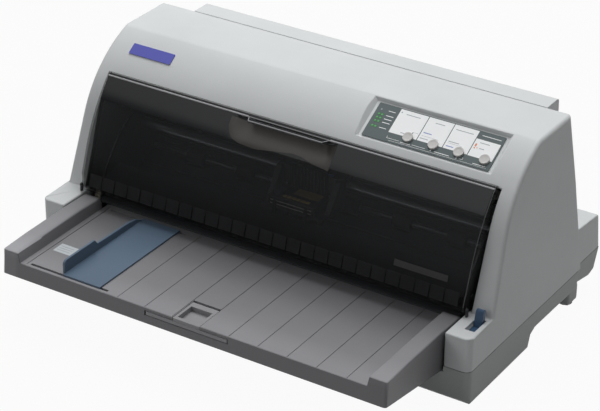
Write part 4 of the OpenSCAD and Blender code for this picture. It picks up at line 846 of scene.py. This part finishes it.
class PRINTER_OT_panel(PieceOperator, bpy.types.Operator):
    """Adds the control panel's printed fields, lines and marks, its lenses and its buttons"""

    bl_idname = "printer.panel"
    bl_label = "Control panel"

    def execute(self, context):
        film = plate("panel_film", (66.0, 199.2), (-18.5, 18.5), (PANEL_FLOOR - FILM_BED, FILM_TOP), PANEL_FACE, 0.8)
        drill_buttons(film, -6)
        mount(film, "case", "panel_film", "film", "panel_overlay")

        fields = [((89.6, 119.0), (-8.5, 17.7)), ((119.8, 146.1), (-8.5, 17.7)), ((146.9, 172.0), (-8.5, 17.7)),
                  ((172.8, 197.8), (-8.7, 9.9))]
        white = [print_field(x, v) for x, v in fields]
        # frames and pointers under the buttons, and short bars where the real panel has its words
        white += print_line([(91, -12.6), (91, -14.6), (104, -14.6)])
        white += print_line([(118, -14.6), (131.5, -14.6)])
        white += print_line([(94, -16.6), (196, -16.6)], 0.25)
        white += print_line([(170.5, -12.6), (170.5, -14.6), (167.5, -14.6)])
        white += [print_triangle(x, -14.9, 1.1) for x in BUTTON_X[1:3]]
        white += print_bars(0.35, [(78.6, 86.5, v) for v in LED_V[:3]], 0)
        white += print_bars(0.3, [(78.6, 86.0, LED_V[3]), (78.6, 86.0, 12.0), (105.5, 116, -15.2), (141.5, 157, -14.9),
                                  (181.5, 194, -15.2), (176.5, 196, 14.2)], 0)
        mount(joined(white, "panel_fields"), "case", "grey_label", "white_ink")

        marks = print_bars(0.35, [(97, 112, 13.6), (128, 138, 13.2), (150, 168, 12.8), (178, 188, 6.6), (180, 185, 0.8),
                                  (101, 106, -5.8), (121.5, 130, -5.4), (149, 160, -0.6)])
        marks += print_line([(112, -3.6), (113, -2.2), (118, -2.2)], 0.25)
        marks += print_line([(122, -2.6), (139, -2.6), (139, -3.8)], 0.25)
        marks += print_line([(149, -2.4), (164, -2.4)], 0.25)
        for x, v, radius in ((91.8, 14.4, 0.7), (71.0, 12.0, 0.8)):
            marks.append(rod("dot", (x, v, FILM_TOP - 0.02), (x, v, FILM_TOP + 0.06), radius, 24))
            marks[-1].data.transform(PANEL_FACE)
        mount(joined(marks, "panel_marks"), "case", "grey_label", "grey_ink")

        blue = print_bars(0.5, [(122, 130.5, 0.8), (148.8, 156.5, -5.6)])
        mount(joined(blue, "panel_blue_marks"), "case", "grey_label", "blue_ink")
        orange = print_bars(1.6, [(174.6, 176.2, 3.2)]) + print_bars(0.5, [(174.6, 176.2, 0.1), (177.4, 178.2, 0.7)])
        mount(joined(orange, "panel_orange_marks"), "case", "grey_label", "orange_ink")

        spots = [(x, v, 0) for x in LED_X for v in LED_V]
        # painted glow: a green disc round each lens
        glow = row(rod("glow", (0, 0, FILM_TOP - 0.02), (0, 0, FILM_TOP + 0.03), 1.7, 24), spots, "panel_glow")
        glow.data.transform(PANEL_FACE)
        mount(glow, "case", "led_green", "led_glow_green")
        lenses = row(rod("lens", (0, 0, -6.0), (0, 0, 0.1), 1.0, 24, 0.25), spots, "panel_lenses")
        lenses.data.transform(PANEL_FACE)
        mount(lenses, "case", "led_green", "led_lens", "indicator_leds")

        for number in range(1, 5):
            button = merged_copy(f"panel_button_{number}", f"button_{number}")
            mode("EDIT")
            normal = PANEL.to_3x3() @ Vector((0, 0, 1))
            choose(button, "faces", lambda f: f.normal.dot(normal) > 0.99
                   and (PANEL.inverted() @ f.calc_center_median()).z > 1 * MM)
            bpy.ops.mesh.inset(thickness=0.9 * MM)
            bpy.ops.mesh.inset(thickness=0.6 * MM)
            bpy.ops.transform.translate(value=-normal * 0.25 * MM)
            bpy.ops.mesh.inset(thickness=1.4 * MM)
            bpy.ops.transform.translate(value=-normal * 0.15 * MM)
            mode("OBJECT")
            soften(button, 0.45 * MM, 60, 3)
            mount(button, f"button_{number}", "button_plastic", "button_abs", f"panel_button_{number}")
        return {"FINISHED"}


class PRINTER_OT_table(PieceOperator, bpy.types.Operator):
    """Rounds the paper table, its pull-out support and its edge guide, and adds liners and the label's lines"""

    bl_idname = "printer.table"
    bl_label = "Paper table"

    def execute(self, context):
        sizes = context.scene.printer_sizes
        rules = [
            (lambda e, m: bend(e) > 45 and m.z > 66 and abs(m.x) > TABLE_WALL_X, sizes.table_edge),
            (lambda e, m: bend(e) > 45 and m.y < TABLE_NOSE_Y and abs(m.x) > 211 and rise(e) > 5, 0.003),
            (lambda e, m: bend(e) > 45 and m.y < TABLE_NOSE_Y and abs(m.x) > TABLE_WALL_X and m.z > 44,
             sizes.table_edge),
            (lambda e, m: bend(e) > 60 and m.y < -183.2 and abs(m.x) > 16 and 58 < m.z < 59, 0.0009),
            # opening for the pull-out's bar
            (lambda e, m: bend(e) > 45 and m.y < -182.3 and abs(m.x) < 47 and 50.5 < m.z < 56.5, 0.0006),
        ]
        rounded("paper_table", "table", "case", "table_plastic", "table_abs", rules, 3)
        rules = [(lambda e, m: bend(e) > 45 and (m.z > 52 or m.y < -182), sizes.small_edge)]
        rounded("pull_out_support", "table_support", "pull_out_support", "table_plastic", "support_abs", rules, 2)

        # liners behind the pull-out's opening and under the guide's front slot, which close them from below: sheets
        # that stand in for the shade inside the slots
        liners = [plate("liner", x, (-177.2, -176.6), (43.2, 56)) for x in ((-50, -16.2), (16.2, 50))]
        liners += [plate("liner", x, (-176.4, -147.4), (49, 56)) for x in ((-17, -15.2), (15.2, 17))]
        liners.append(plate("liner", (-193, -70), (-181, -164), (50.4, 51.0)))
        mount(joined(liners, "table_liners"), "case", "table_plastic", "table_abs")

        # the label's bare lines
        bar = plate("bar", (-179, -164), (-0.5, 0.5), (58.58, 58.64))
        mount(row(bar, [(0, y, 0) for y in (-135, -138.5, -142)], "table_marks"), "case", "grey_label", "grey_ink")

        rules = [(lambda e, m: bend(e) > 45 and m.z > 58.5, 0.0004)]
        rounded("edge_guide", "guide", "edge_guide", "guide_plastic", "guide_abs", rules, 2)
        return {"FINISHED"}


class PRINTER_OT_lever(PieceOperator, bpy.types.Operator):
    """Rounds the release lever"""

    bl_idname = "printer.lever"
    bl_label = "Release lever"

    def execute(self, context):
        rules = [(lambda e, m: bend(e) > 30 and m.z > 60, 0.0006)]
        rounded("release_lever", "lever", "release_lever", "lever_plastic", "lever_abs", rules, 3)
        return {"FINISHED"}


class PRINTER_OT_rollers(PieceOperator, bpy.types.Operator):
    """Models the four roller sets: steel shafts, rubber rings and the gears on the feed shafts"""

    bl_idname = "printer.rollers"
    bl_label = "Rollers"

    def execute(self, context):
        for body, (y, z), shaft_r, rubber_r, ends in (
            ("front_pinch", FRONT_PINCH, 3, 8, (-206.5, 206.5)),
            ("rear_pinch", REAR_PINCH, 3, 8, (-206.5, 206.5)),
            ("front_feed", FRONT_FEED, 4, 9, (-215, 207)),
            ("rear_feed", REAR_FEED, 4, 9, (-215, 207)),
        ):
            shaft = rod(f"{body}_shaft", (ends[0], y, z), (ends[1], y, z), shaft_r, 48, 0.4)
            mount(shaft, body, "shaft_steel", "ground", f"{body}_roller")
            ring = rod("ring", (-10, y, z), (10, y, z), rubber_r, 64, 0.5)
            mount(row(ring, [(x, 0, 0) for x in ROLLER_X], f"{body}_rubber"), body, "roller_rubber", "nbr")
        for body in ("front_feed", "rear_feed"):
            gear = merged_copy(f"{body}_roller", f"{body}_gear")
            mode("EDIT")
            choose(gear, "verts", lambda v: not GEAR_X[0] < v.co.x / MM < GEAR_X[1])
            bpy.ops.mesh.delete(type="VERT")
            mode("OBJECT")
            mount(gear, body, "gear_plastic", "acetal")
        return {"FINISHED"}


class PRINTER_OT_carriage(PieceOperator, bpy.types.Operator):
    """Rounds the ribbon cartridge and its knob and adds the cartridge's prints"""

    bl_idname = "printer.carriage"
    bl_label = "Carriage"

    def execute(self, context):
        rules = [(lambda e, m: bend(e) > 45 and m.z > CARTRIDGE_TOP, 0.0008)]
        rounded("ribbon_cartridge", "cartridge", "carriage", "black_plastic", "cartridge_ps", rules, 3)

        dash = plate("dash", (-2.2, 2.2), (-7.6, -3.6), (CARTRIDGE_TOP, 105.5), corner=0.6, edge=0.2)
        bar = row(dash, [(2 + 5.1 * i, 0, 0) for i in range(-3, 4)], "gold_bar")
        mount(bar, "carriage", "brass", "gold_foil")
        stripe = plate("blue_stripe", (-3, 26), (24.6, 29), (121.6, 121.9), corner=1.0)
        mount(stripe, "carriage", "badge_plastic", "stripe_ink")
        label = plate("cartridge_label", (-4, 24), (2, 14), (CARTRIDGE_TOP, 105.3), corner=2.0)
        mount(label, "carriage", "brass", "label_kraft")
        # ledges moulded round the cartridge's front
        ledge = plate("ledge", (-24, 28), (-12.6, 6), (100.9, 101.7), corner=5, edge=0.3)
        ledges = row(ledge, [(0, 0, 0), (0, 0, -3.6)], "cartridge_ledges")
        mount(ledges, "carriage", "black_plastic", "ledge_ps")

        rules = [(lambda e, m: bend(e) > 45 and m.z > 105, 0.0006)]
        rounded("ribbon_knob", "knob", "ribbon_knob", "knob_plastic", "knob_ps", rules, 3)
        return {"FINISHED"}


# the frame nodes that stay, by their finish
CAD_FINISHES = {
    "strip_abs": ("cover_blank_strip",),
    "label_ink": ("table_label",),
    "mask": ("panel_board", "main_board"),
    "ground": ("lever_pin", "carriage_shaft", "tractor_shaft"),
    "black_pbt": (
        "power_switch", "power_rocker", "carriage", "platen_bar", "front_paper_guide", "tractor_frame",
        "tractor_left", "tractor_right", "tractor_lid_left", "tractor_lid_right", "ac_inlet",
    ),
    "e_coat": ("side_frame_left", "side_frame_right", "carriage_rail"),
    "alloy": ("print_head",),
    "painted": ("carriage_motor", "feed_motor"),
    "acetal": ("motor_pulley", "idler_pulley", "feed_idler_gear", "tractor_idler_gear"),
    "nbr": ("drive_belt",),
    "guide_pbt": ("lower_paper_guide", "rear_paper_guide"),
    "brass": ("feed_pinion",),
    "zinc": ("power_supply", "parallel_connector", "usb_connector", "case_screws"),
    "epdm": ("rubber_feet",),
}


class PRINTER_OT_finishes(PieceOperator, bpy.types.Operator):
    """Gives each frame node that stays its finish"""

    bl_idname = "printer.finishes"
    bl_label = "Finishes"

    def execute(self, context):
        for finish, nodes in CAD_FINISHES.items():
            for node in nodes:
                NODES[node].data.materials.clear()
                NODES[node].data.materials.append(FINISHES[finish])
        return {"FINISHED"}


class PRINTER_OT_stage(PieceOperator, bpy.types.Operator):
    """Adds the floor, the lamps, the surroundings and the camera"""

    bl_idname = "printer.stage"
    bl_label = "Stage"

    def execute(self, context):
        scene = context.scene
        scene.view_settings.view_transform = "Standard"
        deselect()
        bpy.ops.mesh.primitive_plane_add(size=16, location=(0, 0, 0))
        floor = context.object
        floor.name = "floor"
        material, tree, shader = new_material("white_paper_sweep")
        wire(tree, shader, {"Base Color": (0.3, 0.3, 0.3, 1), "Roughness": 0.9})
        path = add_node(tree, "LightPath")
        seen = path.outputs["Is Camera Ray"]
        for ray in ("Is Glossy Ray", "Is Transmission Ray"):
            seen = add_node(tree, "Math", links={0: seen, 1: path.outputs[ray]}, operation="MAXIMUM")
        share = add_node(tree, "Math", {1: 0.95}, {0: seen}, operation="MULTIPLY")
        glow = add_node(tree, "Emission", {"Color": (1, 1, 1, 1), "Strength": 1.0})
        mixed = add_node(tree, "MixShader", links={0: share, 1: shader, 2: glow})
        output = next(n for n in tree.nodes if n.type == "OUTPUT_MATERIAL")
        wire(tree, output, links={"Surface": mixed})
        floor.data.materials.append(material)

        world = bpy.data.worlds.new("studio")
        world.use_nodes = True
        scene.world = world
        sky = world.node_tree
        sky.nodes.clear()
        place = add_node(sky, "TexCoord").outputs["Generated"]
        height = add_node(sky, "SeparateXYZ", links={0: place}).outputs["Z"]
        # mirrored, the surroundings are dark low down and a bright ceiling above
        span = {1: 0.52, 2: 0.60, 3: 0.08, 4: 1.2}
        ceiling = add_node(sky, "MapRange", span, {0: height}, interpolation_type="SMOOTHSTEP")
        path = add_node(sky, "LightPath")
        level = add_node(sky, "Mix", {2: 0.21}, {0: path.outputs["Is Glossy Ray"], 3: ceiling})
        bright = add_node(sky, "Mix", {3: 1.0}, {0: path.outputs["Is Camera Ray"], 2: level})
        light = add_node(sky, "Background", {"Color": (1, 1, 1, 1)}, {"Strength": bright})
        add_node(sky, "OutputWorld", links={"Surface": light})

        # both lamps look at the printer's middle
        for name, place, size, power in (
            ("softbox_top", (-0.3, 0.9, 2.0), 1.6, 45),
            ("softbox_front", (-1.2, -2.2, 1.5), 1.4, 12),
        ):
            deselect()
            bpy.ops.object.light_add(type="AREA", location=place)
            lamp = context.object
            lamp.name = name
            lamp.data.shape = "SQUARE"
            lamp.data.size = size
            lamp.data.energy = power
            lamp.rotation_euler = (Vector(place) - Vector((0, 0, 0.1))).to_track_quat("Z", "Y").to_euler()
            lamp.visible_glossy = False

        deselect()
        bpy.ops.object.camera_add(location=(1.02342, -1.60519, 1.14445))
        camera = context.object
        camera.rotation_euler = [math.radians(a) for a in (61.1233, -0.3894, 32.6051)]
        camera.data.lens = scene.printer_sizes.lens
        camera.data.sensor_width = 36
        scene.camera = camera
        return {"FINISHED"}


class PRINTER_PT_pieces(bpy.types.Panel):
    """Lists the steps that dress the printer"""

    bl_idname = "PRINTER_PT_pieces"
    bl_label = "Printer"
    bl_space_type = "VIEW_3D"
    bl_region_type = "UI"
    bl_category = "Printer"

    def draw(self, context):
        for step in STEPS:
            self.layout.operator(step.bl_idname)


STEPS = (
    PRINTER_OT_case,
    PRINTER_OT_front_cover,
    PRINTER_OT_panel,
    PRINTER_OT_table,
    PRINTER_OT_lever,
    PRINTER_OT_rollers,
    PRINTER_OT_carriage,
    PRINTER_OT_finishes,
    PRINTER_OT_stage,
)
CLASSES = (PrinterColours, PrinterSizes, *STEPS, PRINTER_PT_pieces)
FINISHES = {}


def register():
    for item in CLASSES:
        bpy.utils.register_class(item)
    bpy.types.Scene.printer_colours = bpy.props.PointerProperty(type=PrinterColours)
    bpy.types.Scene.printer_sizes = bpy.props.PointerProperty(type=PrinterSizes)


def unregister():
    del bpy.types.Scene.printer_sizes
    del bpy.types.Scene.printer_colours
    for item in reversed(CLASSES):
        bpy.utils.unregister_class(item)


def main():
    register()
    FINISHES.update(make_materials())
    for step in STEPS:
        group, name = step.bl_idname.split(".")
        getattr(getattr(bpy.ops, group), name)()


if __name__ == "__main__":
    main()
